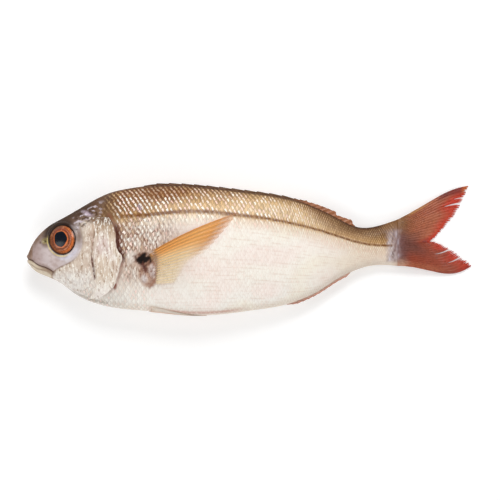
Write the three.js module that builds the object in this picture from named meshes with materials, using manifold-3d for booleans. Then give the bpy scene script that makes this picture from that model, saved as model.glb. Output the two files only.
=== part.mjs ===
// A whole raw seabream lying on its right side, as a group of named solids, in millimetres.
// +X runs from the snout to the tail, +Y from the belly to the back, and +Z up from the right flank,
// which the fish rests on, to the left flank. The origin is under the middle of the fish.

import * as THREE from "three";
import { mergeVertices } from "three/addons/utils/BufferGeometryUtils.js";
import Module from "manifold-3d";

// Driving dimensions.
const STANDARD_LENGTH = 208; // snout tip to the end of the scaled tail base
const BODY_DEPTH = 73; // belly to back, with the fins left out
const BODY_THICKNESS = 34; // flank to flank at the thickest section
const REST_PRESS = 1.6; // how far the weight flattens the right flank
const FIT_GAP = 0.35; // clear space between neighbouring solids

const EYE_WIDTH = 15; // along the head
const EYE_HEIGHT = 16.5;
const EYE_PROUD = 1.3; // how far the eye stands out of the head
const EYE_SPACING = 3; // between the two eyeballs, inside the head

const GILL_COVER_THICKNESS = 1.6;

const PECTORAL_LENGTH = 53; // its longest ray, along the upper edge
const PECTORAL_LAST_RAY = 16;
const PECTORAL_BASE = 17.5;
const PECTORAL_RISE = { first: THREE.MathUtils.degToRad(24.3), last: THREE.MathUtils.degToRad(6) };
const PECTORAL_THICKNESS = 0.9;
const PECTORAL_TAPER = 1.5; // over 1, the rays behind the longest ones shorten faster

const PELVIC_LENGTH = 33;
const PELVIC_WIDTH = 5.5; // at its base
const PELVIC_TIP_WIDTH = 1.1;
const PELVIC_THICKNESS = 1;
const PELVIC_SPACING = 3; // between the two fins, over the belly's edge

const DORSAL_SPINY_HEIGHT = 1.6; // folded down
const DORSAL_SOFT_HEIGHT = 2.3;
const DORSAL_THICKNESS = 1.6;
const DORSAL_SPINES = 12;
const ANAL_HEIGHT = 1.5; // folded down
const ANAL_THICKNESS = 1.4;
const FOLDED_FIN_NOTCH = 0.25; // how deep the membrane dips between spines, as a share
const FOLDED_FIN_END = 0.5; // height of a folded fin at its two ends
const FOLDED_FIN_EDGE = 0.6; // thickness of its outer edge, as a share of its foot's

const TAIL_BASE_THICKNESS = 2.6;
const TAIL_EDGE_THICKNESS = 0.9;
const TAIL_UPPER_TIP = { reach: 39.7, rise: 31.5 }; // from the middle of the tail base
const TAIL_LOWER_TIP = { reach: 42.2, rise: -12.9 };
const TAIL_FORK = { reach: 18.2, rise: 0.4 };
const TAIL_MARGIN_BOW = { upper: 3.3, lower: 1 }; // how far each lobe's hind edge bulges
const TAIL_SIDE_BOW = { upper: 2.1, lower: -4.6 };
const TAIL_BOW_HINDWARD = 1.9; // over 1, the bow lies nearer the tips

// Outlines, as [station, value]. A station is a share of the standard length, from the snout.
const BACK_LINE = [ // height in half body depths
  [0, -0.126], [0.0054, -0.02], [0.0161, 0.108], [0.0322, 0.231], [0.0645, 0.389], [0.0967, 0.49],
  [0.161, 0.701], [0.226, 0.881], [0.274, 0.943], [0.335, 0.987], [0.4, 0.996], [0.468, 0.971],
  [0.613, 0.877], [0.742, 0.732], [0.79, 0.625], [0.8385, 0.487], [0.887, 0.361], [0.919, 0.344],
  [0.951, 0.379], [1, 0.471],
];
const BELLY_LINE = [
  [0, -0.13], [0.0054, -0.215], [0.0161, -0.295], [0.0322, -0.356], [0.0645, -0.432], [0.0967, -0.533],
  [0.129, -0.671], [0.177, -0.804], [0.242, -0.892], [0.339, -0.943], [0.435, -0.999],
  [0.516, -0.992], [0.613, -0.922], [0.7095, -0.82], [0.742, -0.753], [0.79, -0.62],
  [0.8385, -0.441], [0.871, -0.348], [0.903, -0.277], [0.935, -0.238], [1, -0.246],
];
const FLANK_LINE = [ // distance from the middle plane in half body thicknesses
  [0, 0], [0.0106, 0.19], [0.0457, 0.39], [0.107, 0.59], [0.191, 0.775], [0.274, 0.93], [0.371, 1],
  [0.46, 0.99], [0.6, 0.84], [0.75, 0.57], [0.85, 0.365], [0.92, 0.26], [1, 0.176],
];
const MIDDLE_LINE = [ // height of the middle plane over the surface, as a share of the highest
  [0, 0.83], [0.1, 0.88], [0.2, 0.94], [0.35, 1], [0.5, 0.97], [0.6, 0.88], [0.75, 0.65],
  [0.85, 0.5], [0.92, 0.41], [1, 0.33],
];
const GILL_FRONT = [ // stations of the gill cover's front and hind edges, by level
  [-0.84, 0.2], [-0.5, 0.189], [-0.1, 0.18], [0.3, 0.184], [0.62, 0.192],
];
const GILL_HIND = [
  [-0.84, 0.222], [-0.6, 0.243], [-0.3, 0.257], [0.05, 0.259], [0.3, 0.248], [0.62, 0.222],
];

// Where things sit: a level runs from -1 on the belly line to 1 on the back line.
const EYE_STATION = 0.0975;
const EYE_LEVEL = 0.347;
const GILL_LEVELS = { low: -0.8, high: 0.58 };
const PECTORAL_STATION = 0.331;
const PECTORAL_BASE_LEVEL = -0.055; // its upper end
const PELVIC_STATION = 0.325;
const DORSAL_STATIONS = { front: 0.315, soft: 0.72, hind: 0.878 };
const ANAL_STATIONS = { front: 0.7, hind: 0.868 };

// Sections are flatter than an ellipse on the flanks, and come to a narrower edge along the back.
const FLANK_FLATNESS = 2.3;
const BACK_ROUNDNESS = 0.62;
const BELLY_ROUNDNESS = 0.54;

const BODY_RINGS = 56;
const RING_CROWDING = 1.35; // over 1, the rings lie closer together towards the snout
const RING_POINTS = 44;

// A natural cubic spline through [x, y] points.
function splineThrough(points) {
  const x = points.map((p) => p[0]);
  const y = points.map((p) => p[1]);
  const last = x.length - 1;
  const bend = new Array(last + 1).fill(0);
  const carry = new Array(last + 1).fill(0);
  for (let i = 1; i < last; i++) {
    const before = x[i] - x[i - 1];
    const after = x[i + 1] - x[i];
    const turn = (y[i + 1] - y[i]) / after - (y[i] - y[i - 1]) / before;
    const pivot = 2 * (before + after) - before * carry[i - 1];
    carry[i] = after / pivot;
    bend[i] = (6 * turn - before * bend[i - 1]) / pivot;
  }
  for (let i = last - 1; i > 0; i--) bend[i] -= carry[i] * bend[i + 1];
  return (at) => {
    let i = 0;
    while (i < last - 1 && at > x[i + 1]) i++;
    const step = x[i + 1] - x[i];
    const b = (at - x[i]) / step;
    const a = 1 - b;
    const curve = ((a ** 3 - a) * bend[i] + (b ** 3 - b) * bend[i + 1]) * step * step / 6;
    return a * y[i] + b * y[i + 1] + curve;
  };
}

// An outline that rounds off at the snout: it is smooth in the root of the station.
function outline(points) {
  const curve = splineThrough(points.map(([station, value]) => [Math.sqrt(station), value]));
  return (station) => curve(Math.sqrt(THREE.MathUtils.clamp(station, 0, 1)));
}

const backShare = outline(BACK_LINE);
const bellyShare = outline(BELLY_LINE);
const flankShare = outline(FLANK_LINE);
const middleShare = splineThrough(MIDDLE_LINE);
const gillFront = splineThrough(GILL_FRONT);
const gillHind = splineThrough(GILL_HIND);

const backAt = (station) => backShare(station) * BODY_DEPTH / 2;
const bellyAt = (station) => bellyShare(station) * BODY_DEPTH / 2;
const middleHeight = (station) => middleShare(station) * (BODY_THICKNESS / 2 - REST_PRESS);

// Half the body's thickness at a station and a level.
function halfThickness(station, level) {
  const roundness = level > 0 ? BACK_ROUNDNESS : BELLY_ROUNDNESS;
  const share = Math.max(0, 1 - Math.abs(level) ** FLANK_FLATNESS) ** roundness;
  return Math.max(0, flankShare(station)) * BODY_THICKNESS / 2 * share;
}

// The skin's height over the surface. The side is 1 on the left flank and -1 on the right one.
function skinHeight(station, level, side) {
  return Math.max(0, middleHeight(station) + side * halfThickness(station, level));
}

function levelToY(station, level) {
  return THREE.MathUtils.mapLinear(level, -1, 1, bellyAt(station), backAt(station));
}

function yToLevel(station, y) {
  return THREE.MathUtils.clamp(
    THREE.MathUtils.mapLinear(y, bellyAt(station), backAt(station), -1, 1), -1, 1);
}

// A point on the skin. The angle is 90 degrees on the back and -90 on the belly, on the left flank
// between them, and past them on the right flank.
function skinPoint(station, angle) {
  const level = Math.sin(angle);
  const side = Math.cos(angle) < 0 ? -1 : 1;
  return new THREE.Vector3(
    station * STANDARD_LENGTH, levelToY(station, level), skinHeight(station, level, side));
}

// The skin's outward direction at a point.
function skinNormal(station, angle) {
  const step = 1e-3;
  const along = skinPoint(station + step, angle).sub(skinPoint(station - step, angle));
  const around = skinPoint(station, angle + step).sub(skinPoint(station, angle - step));
  return along.cross(around).normalize();
}

// The angle at which the belly's left side is this far from the middle plane.
function bellyAngle(station, offset) {
  const share = (offset / (flankShare(station) * BODY_THICKNESS / 2)) ** (1 / BELLY_ROUNDNESS);
  return -Math.asin((1 - share) ** (1 / FLANK_FLATNESS));
}

function geometryOf(positions, index) {
  const geometry = new THREE.BufferGeometry();
  geometry.setAttribute("position", new THREE.Float32BufferAttribute(positions, 3));
  geometry.setIndex(index);
  return geometry;
}

// The whole body with nothing cut from it: rings from the snout to the tail base, closed at both ends.
function bodyGeometry() {
  const positions = [...skinPoint(0, 0).toArray()];
  const index = [];
  const at = (ring, i) => 1 + (ring - 1) * RING_POINTS + (i % RING_POINTS);
  for (let ring = 1; ring <= BODY_RINGS; ring++) {
    const station = (ring / BODY_RINGS) ** RING_CROWDING;
    for (let i = 0; i < RING_POINTS; i++) {
      positions.push(...skinPoint(station, 2 * Math.PI * i / RING_POINTS).toArray());
    }
  }
  positions.push(STANDARD_LENGTH, levelToY(1, 0), middleHeight(1));
  const end = positions.length / 3 - 1;
  for (let i = 0; i < RING_POINTS; i++) {
    index.push(0, at(1, i), at(1, i + 1));
    index.push(end, at(BODY_RINGS, i + 1), at(BODY_RINGS, i));
    for (let ring = 1; ring < BODY_RINGS; ring++) {
      index.push(at(ring, i), at(ring + 1, i + 1), at(ring, i + 1));
      index.push(at(ring, i), at(ring + 1, i), at(ring + 1, i + 1));
    }
  }
  return geometryOf(positions, index);
}

// A closed sheet between two faces, each a function of u and v from 0 to 1 that gives a point.
function closedSheet(columns, rows, outer, inner) {
  const positions = [];
  for (const face of [outer, inner]) {
    for (let i = 0; i <= columns; i++) {
      for (let j = 0; j <= rows; j++) positions.push(...face(i / columns, j / rows).toArray());
    }
  }
  const at = (face, i, j) => (face * (columns + 1) + i) * (rows + 1) + j;
  const index = [];
  const quad = (a, b, c, d) => index.push(a, b, c, a, c, d);
  for (let i = 0; i < columns; i++) {
    for (let j = 0; j < rows; j++) {
      quad(at(0, i, j), at(0, i + 1, j), at(0, i + 1, j + 1), at(0, i, j + 1));
      quad(at(1, i, j), at(1, i, j + 1), at(1, i + 1, j + 1), at(1, i + 1, j));
    }
    quad(at(0, i + 1, 0), at(0, i, 0), at(1, i, 0), at(1, i + 1, 0));
    quad(at(0, i, rows), at(0, i + 1, rows), at(1, i + 1, rows), at(1, i, rows));
  }
  for (let j = 0; j < rows; j++) {
    quad(at(0, 0, j), at(0, 0, j + 1), at(1, 0, j + 1), at(1, 0, j));
    quad(at(0, columns, j + 1), at(0, columns, j), at(1, columns, j), at(1, columns, j + 1));
  }
  if (signedVolume(positions, index) < 0) index.reverse();
  return geometryOf(positions, index);
}

function signedVolume(positions, index) {
  const corner = (i) => new THREE.Vector3().fromArray(positions, index[i] * 3);
  let volume = 0;
  for (let i = 0; i < index.length; i += 3) {
    volume += corner(i).dot(corner(i + 1).cross(corner(i + 2))) / 6;
  }
  return volume;
}

// The eye on one side: a flattened ball that reaches from near the middle plane to just outside the
// skin. Grown, it is the socket for it.
function eyeGeometry(side, grow = 0) {
  const outermost = halfThickness(EYE_STATION, EYE_LEVEL) + EYE_PROUD;
  const innermost = EYE_SPACING / 2;
  const geometry = new THREE.SphereGeometry(0.5, 32, 20);
  geometry.scale(
    EYE_WIDTH + 2 * grow, EYE_HEIGHT + 2 * grow, outermost - innermost + 2 * grow);
  return geometry.translate(
    EYE_STATION * STANDARD_LENGTH,
    levelToY(EYE_STATION, EYE_LEVEL),
    middleHeight(EYE_STATION) + side * (outermost + innermost) / 2);
}

// The gill cover on one side: a thin plate flush with the head's skin. Grown, it is the recess for it.
function gillCoverGeometry(side, grow = 0) {
  const edgeGrow = grow / STANDARD_LENGTH;
  const levelGrow = grow / (BODY_DEPTH / 2);
  const face = (lift) => (u, v) => {
    const level = THREE.MathUtils.lerp(
      GILL_LEVELS.low - levelGrow, GILL_LEVELS.high + levelGrow, v);
    const station = THREE.MathUtils.lerp(
      gillFront(level) - edgeGrow, gillHind(level) + edgeGrow, u);
    const height = skinHeight(station, level, side) + side * lift;
    return new THREE.Vector3(station * STANDARD_LENGTH, levelToY(station, level), height);
  };
  const outerLift = grow > 0 ? GILL_COVER_THICKNESS : 0;
  return closedSheet(10, 20, face(outerLift), face(-GILL_COVER_THICKNESS - grow));
}

// A place in a pectoral fin: u counts the rays from the upper edge, and v runs along a ray.
function pectoralPlace(u, v, grow) {
  const baseY = levelToY(PECTORAL_STATION, PECTORAL_BASE_LEVEL);
  const rise = THREE.MathUtils.lerp(PECTORAL_RISE.first, PECTORAL_RISE.last, u);
  const length = THREE.MathUtils.lerp(PECTORAL_LAST_RAY, PECTORAL_LENGTH, (1 - u) ** PECTORAL_TAPER);
  const slantGrow = 3 * grow; // the hind edge runs at a slant across the rays
  const along = THREE.MathUtils.lerp(-slantGrow, length + slantGrow, v);
  const across = THREE.MathUtils.lerp(-grow, PECTORAL_BASE + grow, u);
  return {
    x: PECTORAL_STATION * STANDARD_LENGTH + along * Math.cos(rise),
    y: baseY - across + along * Math.sin(rise),
  };
}

// The pectoral fin on one side, folded back on the flank. The right one lies under the body, no
// lower than the surface. Grown, it is the hollow that it has pressed into the flank.
function pectoralGeometry(side, grow = 0) {
  const outerLift = FIT_GAP + PECTORAL_THICKNESS;
  const outer = (u, v) => {
    const { x, y } = pectoralPlace(u, v, grow);
    const station = x / STANDARD_LENGTH;
    const height = skinHeight(station, yToLevel(station, y), side) + side * outerLift;
    return new THREE.Vector3(x, y, Math.max(0, height));
  };
  const lifted = (lift) => (u, v) => outer(u, v).add(new THREE.Vector3(0, 0, -side * lift));
  return closedSheet(12, 18, lifted(-grow), lifted(PECTORAL_THICKNESS + grow));
}

// The pelvic fin on one side, folded back against the skin beside the belly's edge.
function pelvicGeometry(side) {
  const face = (lift) => (u, v) => {
    const station = PELVIC_STATION + u * PELVIC_LENGTH / STANDARD_LENGTH;
    const offset = PELVIC_SPACING / 2 + v * THREE.MathUtils.lerp(PELVIC_WIDTH, PELVIC_TIP_WIDTH, u);
    const leftAngle = bellyAngle(station, offset);
    const angle = side > 0 ? leftAngle : Math.PI - leftAngle;
    return skinPoint(station, angle).addScaledVector(skinNormal(station, angle), lift);
  };
  return closedSheet(16, 4, face(FIT_GAP + PELVIC_THICKNESS), face(FIT_GAP));
}

// A fin folded down on the body's edge between two stations, of a given height along it.
function edgeFinGeometry(stations, thickness, edgeAt, direction, heightAt, columns) {
  const face = (side) => (u, v) => {
    const station = THREE.MathUtils.lerp(stations.front, stations.hind, u);
    const reach = FIT_GAP + v * heightAt(station);
    return new THREE.Vector3(
      station * STANDARD_LENGTH,
      edgeAt(station) + direction * reach,
      middleHeight(station) + side * thickness / 2 * THREE.MathUtils.lerp(1, FOLDED_FIN_EDGE, v));
  };
  return closedSheet(columns, 3, face(1), face(-1));
}

// The spiny part is notched between its spines, and the soft part behind it stands a little higher.
function dorsalHeight(station) {
  const { front, soft, hind } = DORSAL_STATIONS;
  const start = THREE.MathUtils.smoothstep(station, front, front + 0.04);
  const swell = THREE.MathUtils.smoothstep(station, soft, soft + 0.05);
  const end = 1 - THREE.MathUtils.smoothstep(station, hind - 0.02, hind);
  const spines = (station - front) / (soft - front) * DORSAL_SPINES;
  const notch = station < soft ? FOLDED_FIN_NOTCH * (spines % 1) : 0;
  const height = THREE.MathUtils.lerp(DORSAL_SPINY_HEIGHT, DORSAL_SOFT_HEIGHT, swell) * (1 - notch);
  return THREE.MathUtils.lerp(FOLDED_FIN_END, height, Math.min(start, end));
}

function analHeight(station) {
  const { front, hind } = ANAL_STATIONS;
  const start = THREE.MathUtils.smoothstep(station, front, front + 0.03);
  const end = 1 - THREE.MathUtils.smoothstep(station, hind - 0.02, hind);
  return THREE.MathUtils.lerp(FOLDED_FIN_END, ANAL_HEIGHT, Math.min(start, end));
}

// The tail fin: a fan of rays from the tail base to two lobes, drooping to the surface.
function tailGeometry() {
  const baseX = STANDARD_LENGTH + FIT_GAP;
  const baseMiddle = levelToY(1, 0);
  const place = ({ reach, rise }) => new THREE.Vector2(baseX + reach, baseMiddle + rise);
  const upperTip = place(TAIL_UPPER_TIP);
  const lowerTip = place(TAIL_LOWER_TIP);
  const fork = place(TAIL_FORK);
  const margin = (u) => {
    const upper = u < 0.5;
    const share = upper ? 1 - 2 * u : 2 * u - 1;
    const point = fork.clone().lerp(upper ? upperTip : lowerTip, share);
    const bulge = Math.sin(Math.PI * share);
    return upper
      ? point.add(new THREE.Vector2(TAIL_MARGIN_BOW.upper * bulge, 0))
      : point.add(new THREE.Vector2(0, TAIL_MARGIN_BOW.lower * bulge));
  };
  const face = (side) => (u, v) => {
    const root = new THREE.Vector2(baseX, THREE.MathUtils.lerp(backAt(1), bellyAt(1), u));
    const point = root.lerp(margin(u), v);
    const sideBow = u < 0.5 ? TAIL_SIDE_BOW.upper * (1 - 2 * u) : TAIL_SIDE_BOW.lower * (2 * u - 1);
    point.y += sideBow * Math.sin(Math.PI * v ** TAIL_BOW_HINDWARD);
    const thickness = THREE.MathUtils.lerp(TAIL_BASE_THICKNESS, TAIL_EDGE_THICKNESS, v);
    const droop = THREE.MathUtils.smoothstep(v, 0, 0.8);
    const middle = THREE.MathUtils.lerp(middleHeight(1), TAIL_EDGE_THICKNESS / 2, droop);
    return new THREE.Vector3(point.x, point.y, Math.max(0, middle + side * thickness / 2));
  };
  return closedSheet(24, 12, face(1), face(-1));
}

const wasm = await Module();
wasm.setup();

function solidOf(geometry) {
  const bare = geometry.clone();
  bare.deleteAttribute("normal");
  bare.deleteAttribute("uv");
  const merged = mergeVertices(bare, 1e-3);
  const kept = [];
  const corners = merged.index.array;
  for (let i = 0; i < corners.length; i += 3) {
    const [a, b, c] = corners.slice(i, i + 3);
    if (a !== b && b !== c && c !== a) kept.push(a, b, c);
  }
  return new wasm.Manifold(new wasm.Mesh({
    numProp: 3,
    vertProperties: merged.attributes.position.array,
    triVerts: new Uint32Array(kept),
  }));
}

function geometryFromSolid(solid) {
  const mesh = solid.getMesh();
  return geometryOf(mesh.vertProperties, [...mesh.triVerts]);
}

// The body with its eye sockets, the recesses under the gill covers and the hollow that the right
// pectoral fin has pressed into the flank.
function cutBodyGeometry() {
  let body = solidOf(bodyGeometry());
  for (const side of [1, -1]) {
    body = body.subtract(solidOf(eyeGeometry(side, FIT_GAP)));
    body = body.subtract(solidOf(gillCoverGeometry(side, FIT_GAP)));
  }
  body = body.subtract(solidOf(pectoralGeometry(-1, FIT_GAP)));
  return geometryFromSolid(body);
}

function skinMaterial(colour, roughness, metalness = 0) {
  return new THREE.MeshStandardMaterial({ color: colour, roughness, metalness });
}

const scaledSkin = skinMaterial(0xcfc0ac, 0.35, 0.25);
const silverBone = skinMaterial(0xd0c6b6, 0.3, 0.3);
const amberFin = skinMaterial(0xd9a96a, 0.45);
const redFin = skinMaterial(0xa8503c, 0.45);
const brownFin = skinMaterial(0x7a5440, 0.5);
const eyeMaterial = skinMaterial(0x1a1c24, 0.08);

const fish = new THREE.Group();

function add(name, geometry, material) {
  const mesh = new THREE.Mesh(geometry, material);
  mesh.name = name;
  fish.add(mesh);
}

add("body", cutBodyGeometry(), scaledSkin);
for (const [word, side] of [["left", 1], ["right", -1]]) {
  add(`${word}_eye`, eyeGeometry(side), eyeMaterial);
  add(`${word}_gill_cover`, gillCoverGeometry(side), silverBone);
  add(`${word}_pectoral_fin`, pectoralGeometry(side), amberFin);
  add(`${word}_pelvic_fin`, pelvicGeometry(side), amberFin);
}
add("dorsal_fin",
  edgeFinGeometry(DORSAL_STATIONS, DORSAL_THICKNESS, backAt, 1, dorsalHeight, 72), brownFin);
add("anal_fin",
  edgeFinGeometry(ANAL_STATIONS, ANAL_THICKNESS, bellyAt, -1, analHeight, 24), redFin);
add("tail_fin", tailGeometry(), redFin);

// The origin goes under the middle of the whole fish.
const bounds = new THREE.Box3().setFromObject(fish);
const middle = bounds.getCenter(new THREE.Vector3());
fish.position.set(-middle.x, -middle.y, -bounds.min.z);

export default fish;
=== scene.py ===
import math
from functools import partial

import bpy
import numpy as np
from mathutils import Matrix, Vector


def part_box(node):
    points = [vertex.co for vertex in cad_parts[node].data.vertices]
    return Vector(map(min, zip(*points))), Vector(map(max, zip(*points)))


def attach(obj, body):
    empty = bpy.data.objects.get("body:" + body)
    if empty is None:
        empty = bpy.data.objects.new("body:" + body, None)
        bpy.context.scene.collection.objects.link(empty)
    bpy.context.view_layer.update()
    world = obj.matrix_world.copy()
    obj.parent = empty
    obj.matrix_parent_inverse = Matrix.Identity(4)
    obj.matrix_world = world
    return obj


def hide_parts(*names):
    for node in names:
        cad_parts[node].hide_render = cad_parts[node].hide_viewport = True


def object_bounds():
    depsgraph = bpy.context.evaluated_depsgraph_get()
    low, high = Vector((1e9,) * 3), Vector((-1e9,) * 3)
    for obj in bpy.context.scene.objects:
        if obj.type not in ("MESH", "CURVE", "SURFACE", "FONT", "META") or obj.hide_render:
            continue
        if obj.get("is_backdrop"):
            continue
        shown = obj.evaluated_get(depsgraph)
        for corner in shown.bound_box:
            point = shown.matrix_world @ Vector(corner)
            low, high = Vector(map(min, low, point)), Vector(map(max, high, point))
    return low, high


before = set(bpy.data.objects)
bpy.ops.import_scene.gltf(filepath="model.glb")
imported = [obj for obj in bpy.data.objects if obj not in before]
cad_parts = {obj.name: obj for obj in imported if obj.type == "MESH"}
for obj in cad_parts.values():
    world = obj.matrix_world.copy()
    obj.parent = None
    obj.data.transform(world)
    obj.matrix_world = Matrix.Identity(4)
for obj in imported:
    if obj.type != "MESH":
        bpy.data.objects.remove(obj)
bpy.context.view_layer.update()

# ---------------------------------------------------------------------------------------------------
# The body. A seabream's head, trunk and tail base are one piece: bone and muscle under a wet skin,
# scaled from the nape to the tail base and bare on the snout. It lies on its right flank, which its
# own weight presses flat, and its tail sinks to the surface.

MM = 0.001  # the frame is in metres, and places on the fish are in mm from its snout and mid line

body_low, body_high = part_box("body")
standard_length = body_high.x - body_low.x
BODY_THICKNESS = 34 * MM
REST_PRESS = 1.6 * MM

# Stations run from 0 at the snout to 1 at the tail base, and heights are in half body depths.
BACK_LINE = [
    (0, -0.126), (0.0054, -0.02), (0.0161, 0.108), (0.0322, 0.231), (0.0645, 0.389), (0.0967, 0.49),
    (0.161, 0.701), (0.226, 0.881), (0.274, 0.943), (0.335, 0.987), (0.4, 0.996), (0.468, 0.971),
    (0.613, 0.877), (0.742, 0.732), (0.79, 0.625), (0.8385, 0.487), (0.887, 0.361), (0.919, 0.344),
    (0.951, 0.379), (1, 0.471),
]
BELLY_LINE = [
    (0, -0.13), (0.0054, -0.215), (0.0161, -0.295), (0.0322, -0.356), (0.0645, -0.432),
    (0.0967, -0.533), (0.129, -0.671), (0.177, -0.804), (0.242, -0.892), (0.339, -0.943),
    (0.435, -0.999), (0.516, -0.992), (0.613, -0.922), (0.7095, -0.82), (0.742, -0.753),
    (0.79, -0.62), (0.8385, -0.441), (0.871, -0.348), (0.903, -0.277), (0.935, -0.238), (1, -0.246),
]
FLANK_LINE = [
    (0, 0), (0.0106, 0.19), (0.0457, 0.39), (0.107, 0.59), (0.191, 0.775), (0.274, 0.93), (0.371, 1),
    (0.46, 0.99), (0.6, 0.84), (0.75, 0.57), (0.85, 0.365), (0.92, 0.26), (1, 0.176),
]
MIDDLE_LINE = [
    (0, 0.83), (0.1, 0.88), (0.2, 0.94), (0.35, 1), (0.5, 0.97), (0.6, 0.88), (0.75, 0.65),
    (0.85, 0.5), (0.92, 0.41), (1, 0.33),
]
FLANK_FLATNESS = 2.3
BACK_ROUNDNESS = 0.62
BELLY_ROUNDNESS = 0.54


def spline_through(points):
    """A natural cubic spline through (x, y) points, as a function of an array."""
    x = np.array([p[0] for p in points], float)
    y = np.array([p[1] for p in points], float)
    step = np.diff(x)
    slope = np.diff(y) / step
    size = len(x)
    system = np.eye(size)
    turn = np.zeros(size)
    for i in range(1, size - 1):
        system[i, i - 1 : i + 2] = step[i - 1], 2 * (step[i - 1] + step[i]), step[i]
        turn[i] = 6 * (slope[i] - slope[i - 1])
    bend = np.linalg.solve(system, turn)

    def at(where):
        where = np.asarray(where, float)
        i = np.clip(np.searchsorted(x, where) - 1, 0, size - 2)
        b = (where - x[i]) / step[i]
        a = 1 - b
        curve = ((a**3 - a) * bend[i] + (b**3 - b) * bend[i + 1]) * step[i] ** 2 / 6
        return a * y[i] + b * y[i + 1] + curve

    return at


def outline(points):
    """An outline that rounds off at the snout: it is smooth in the root of the station."""
    curve = spline_through([(math.sqrt(s), value) for s, value in points])
    return lambda station: curve(np.sqrt(np.clip(station, 0, 1)))


back_share = outline(BACK_LINE)
belly_share = outline(BELLY_LINE)
flank_share = outline(FLANK_LINE)
middle_share = spline_through(MIDDLE_LINE)

all_stations = np.linspace(0, 1, 2001)
highest = back_share(all_stations).max()
lowest = belly_share(all_stations).min()
half_depth = (body_high.y - body_low.y) / (highest - lowest)
mid_y = body_high.y - highest * half_depth


def smooth(low, high, value):
    """0 below low, 1 above high, and an even curve between them."""
    t = np.clip((value - low) / (high - low), 0, 1)
    return t * t * (3 - 2 * t)


def back_y(station):
    return mid_y + back_share(station) * half_depth


def belly_y(station):
    return mid_y + belly_share(station) * half_depth


def middle_z(station):
    return middle_share(station) * (BODY_THICKNESS / 2 - REST_PRESS)


def level_y(station, level):
    return belly_y(station) + (level + 1) / 2 * (back_y(station) - belly_y(station))


def y_level(station, y):
    low, high = belly_y(station), back_y(station)
    return np.clip(2 * (y - low) / (high - low) - 1, -1, 1)


def half_thickness(station, level):
    roundness = np.where(level > 0, BACK_ROUNDNESS, BELLY_ROUNDNESS)
    share = np.maximum(0, 1 - np.abs(level) ** FLANK_FLATNESS) ** roundness
    return np.maximum(0, flank_share(station)) * BODY_THICKNESS / 2 * share


def skin_z(station, level, side):
    """Height of the smooth skin. The side is 1 on the left flank and -1 on the right one."""
    return middle_z(station) + side * half_thickness(station, level)


def along_curve(points, count=160):
    """Points evenly spread on a smooth curve through a few, in mm from the snout and the mid line."""
    points = np.array(points, float)
    way = np.r_[0, np.cumsum(np.hypot(*np.diff(points, axis=0).T))]
    where = np.linspace(0, way[-1], count)
    return np.c_[
        spline_through(list(zip(way, points[:, 0])))(where),
        spline_through(list(zip(way, points[:, 1])))(where),
    ]


def distance_to(curve, x, y):
    """Distance from each place to a curve, and the share of the curve's length at the nearest point."""
    flat_x, flat_y = np.ravel(x), np.ravel(y)
    nearest = np.full(flat_x.shape, 1e9)
    share = np.zeros(flat_x.shape)
    for i, (px, py) in enumerate(curve):
        gap = np.hypot(flat_x - px, flat_y - py)
        closer = gap < nearest
        nearest[closer] = gap[closer]
        share[closer] = i / (len(curve) - 1)
    return nearest.reshape(np.shape(x)), share.reshape(np.shape(x))


def ridge(gap, width):
    """1 on a line and 0 a width away from it."""
    return 1 - smooth(0, width, gap)


def band(value, low, full, fading, gone):
    """1 from full to fading, and 0 below low and above gone."""
    return smooth(low, full, value) * (1 - smooth(fading, gone, value))


# Lines of the head and flank, in mm: how far behind the snout's tip, and how far above the mid line.
MOUTH_LINE = along_curve([(-0.2, -5.0), (2.7, -6.0), (5.5, -8.0), (12, -10.6), (14.9, -12.5)])
CHEEK_EDGE = along_curve(
    [(14.9, -12.5), (17.3, -10.7), (21.6, -8.5), (26.9, -5.3), (30.4, -0.6), (31.4, 6.6), (29.8, 12)]
)
LIP_LINE = along_curve([(4.4, 4.2), (2.9, 1.2), (3.0, -2.6), (3.6, -6.4)])
JAW_END = along_curve([(14.9, -12.5), (14.2, -14.4), (14.0, -16.4)])
CHEEK_HIND = along_curve(
    [(33.5, 19.4), (37.6, 14.6), (38.4, 7.5), (37.1, -3.2), (38.8, -16.2), (38.2, -22), (35.5, -26.5)]
)
THROAT_FOLD = along_curve([(23.5, -22.6), (31.3, -25.8), (38, -28.2), (45, -29.4)])
GILL_SLIT = along_curve(
    [(46.4, 19.6), (49.2, 14.6), (51, 5.4), (52.2, -0.6), (53.9, -2.6), (53.4, -8.4), (51.6, -15),
     (49.3, -20.6), (44, -25.3), (39.5, -28.2)]
)
LATERAL_LINE = [
    (46, 17.3), (53.7, 18.5), (66.5, 19.4), (78.8, 20.6), (92, 21.4), (103, 21.1), (117.4, 19.6),
    (131.9, 17.9), (147, 15.1), (162.7, 11.3), (176, 7.2), (187.8, 3.9), (196, 2.8), (208, 2.5),
]
lateral_y = spline_through(LATERAL_LINE)


def lateral_height(x):
    """The lateral line's height above the mid line. It stays level past its two ends."""
    return lateral_y(np.clip(x, LATERAL_LINE[0][0], LATERAL_LINE[-1][0]))


left_eye_low, left_eye_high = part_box("left_eye")
eye_middle = (left_eye_low + left_eye_high) / 2
EYE_X = (eye_middle.x - body_low.x) / MM
EYE_Y = (eye_middle.y - mid_y) / MM
SOCKET_RADII = (7.4, 8.2)

FRONT_NOSTRIL = (7.6, 4.1)
HIND_NOSTRIL = (10.4, 4.9)
AXIL_MIDDLE = (66.0, -4.9)  # the pocket over the pectoral fin's base
AXIL_RADII = (6.2, 3.5)
AXIL_FOLD = along_curve([(63.6, -6.0), (65.6, -8.6), (67.4, -11.4)])
FIN_BASE = (68.4, -12.6)
FIN_BASE_SHEEN = (66.3, -15.6)


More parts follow.
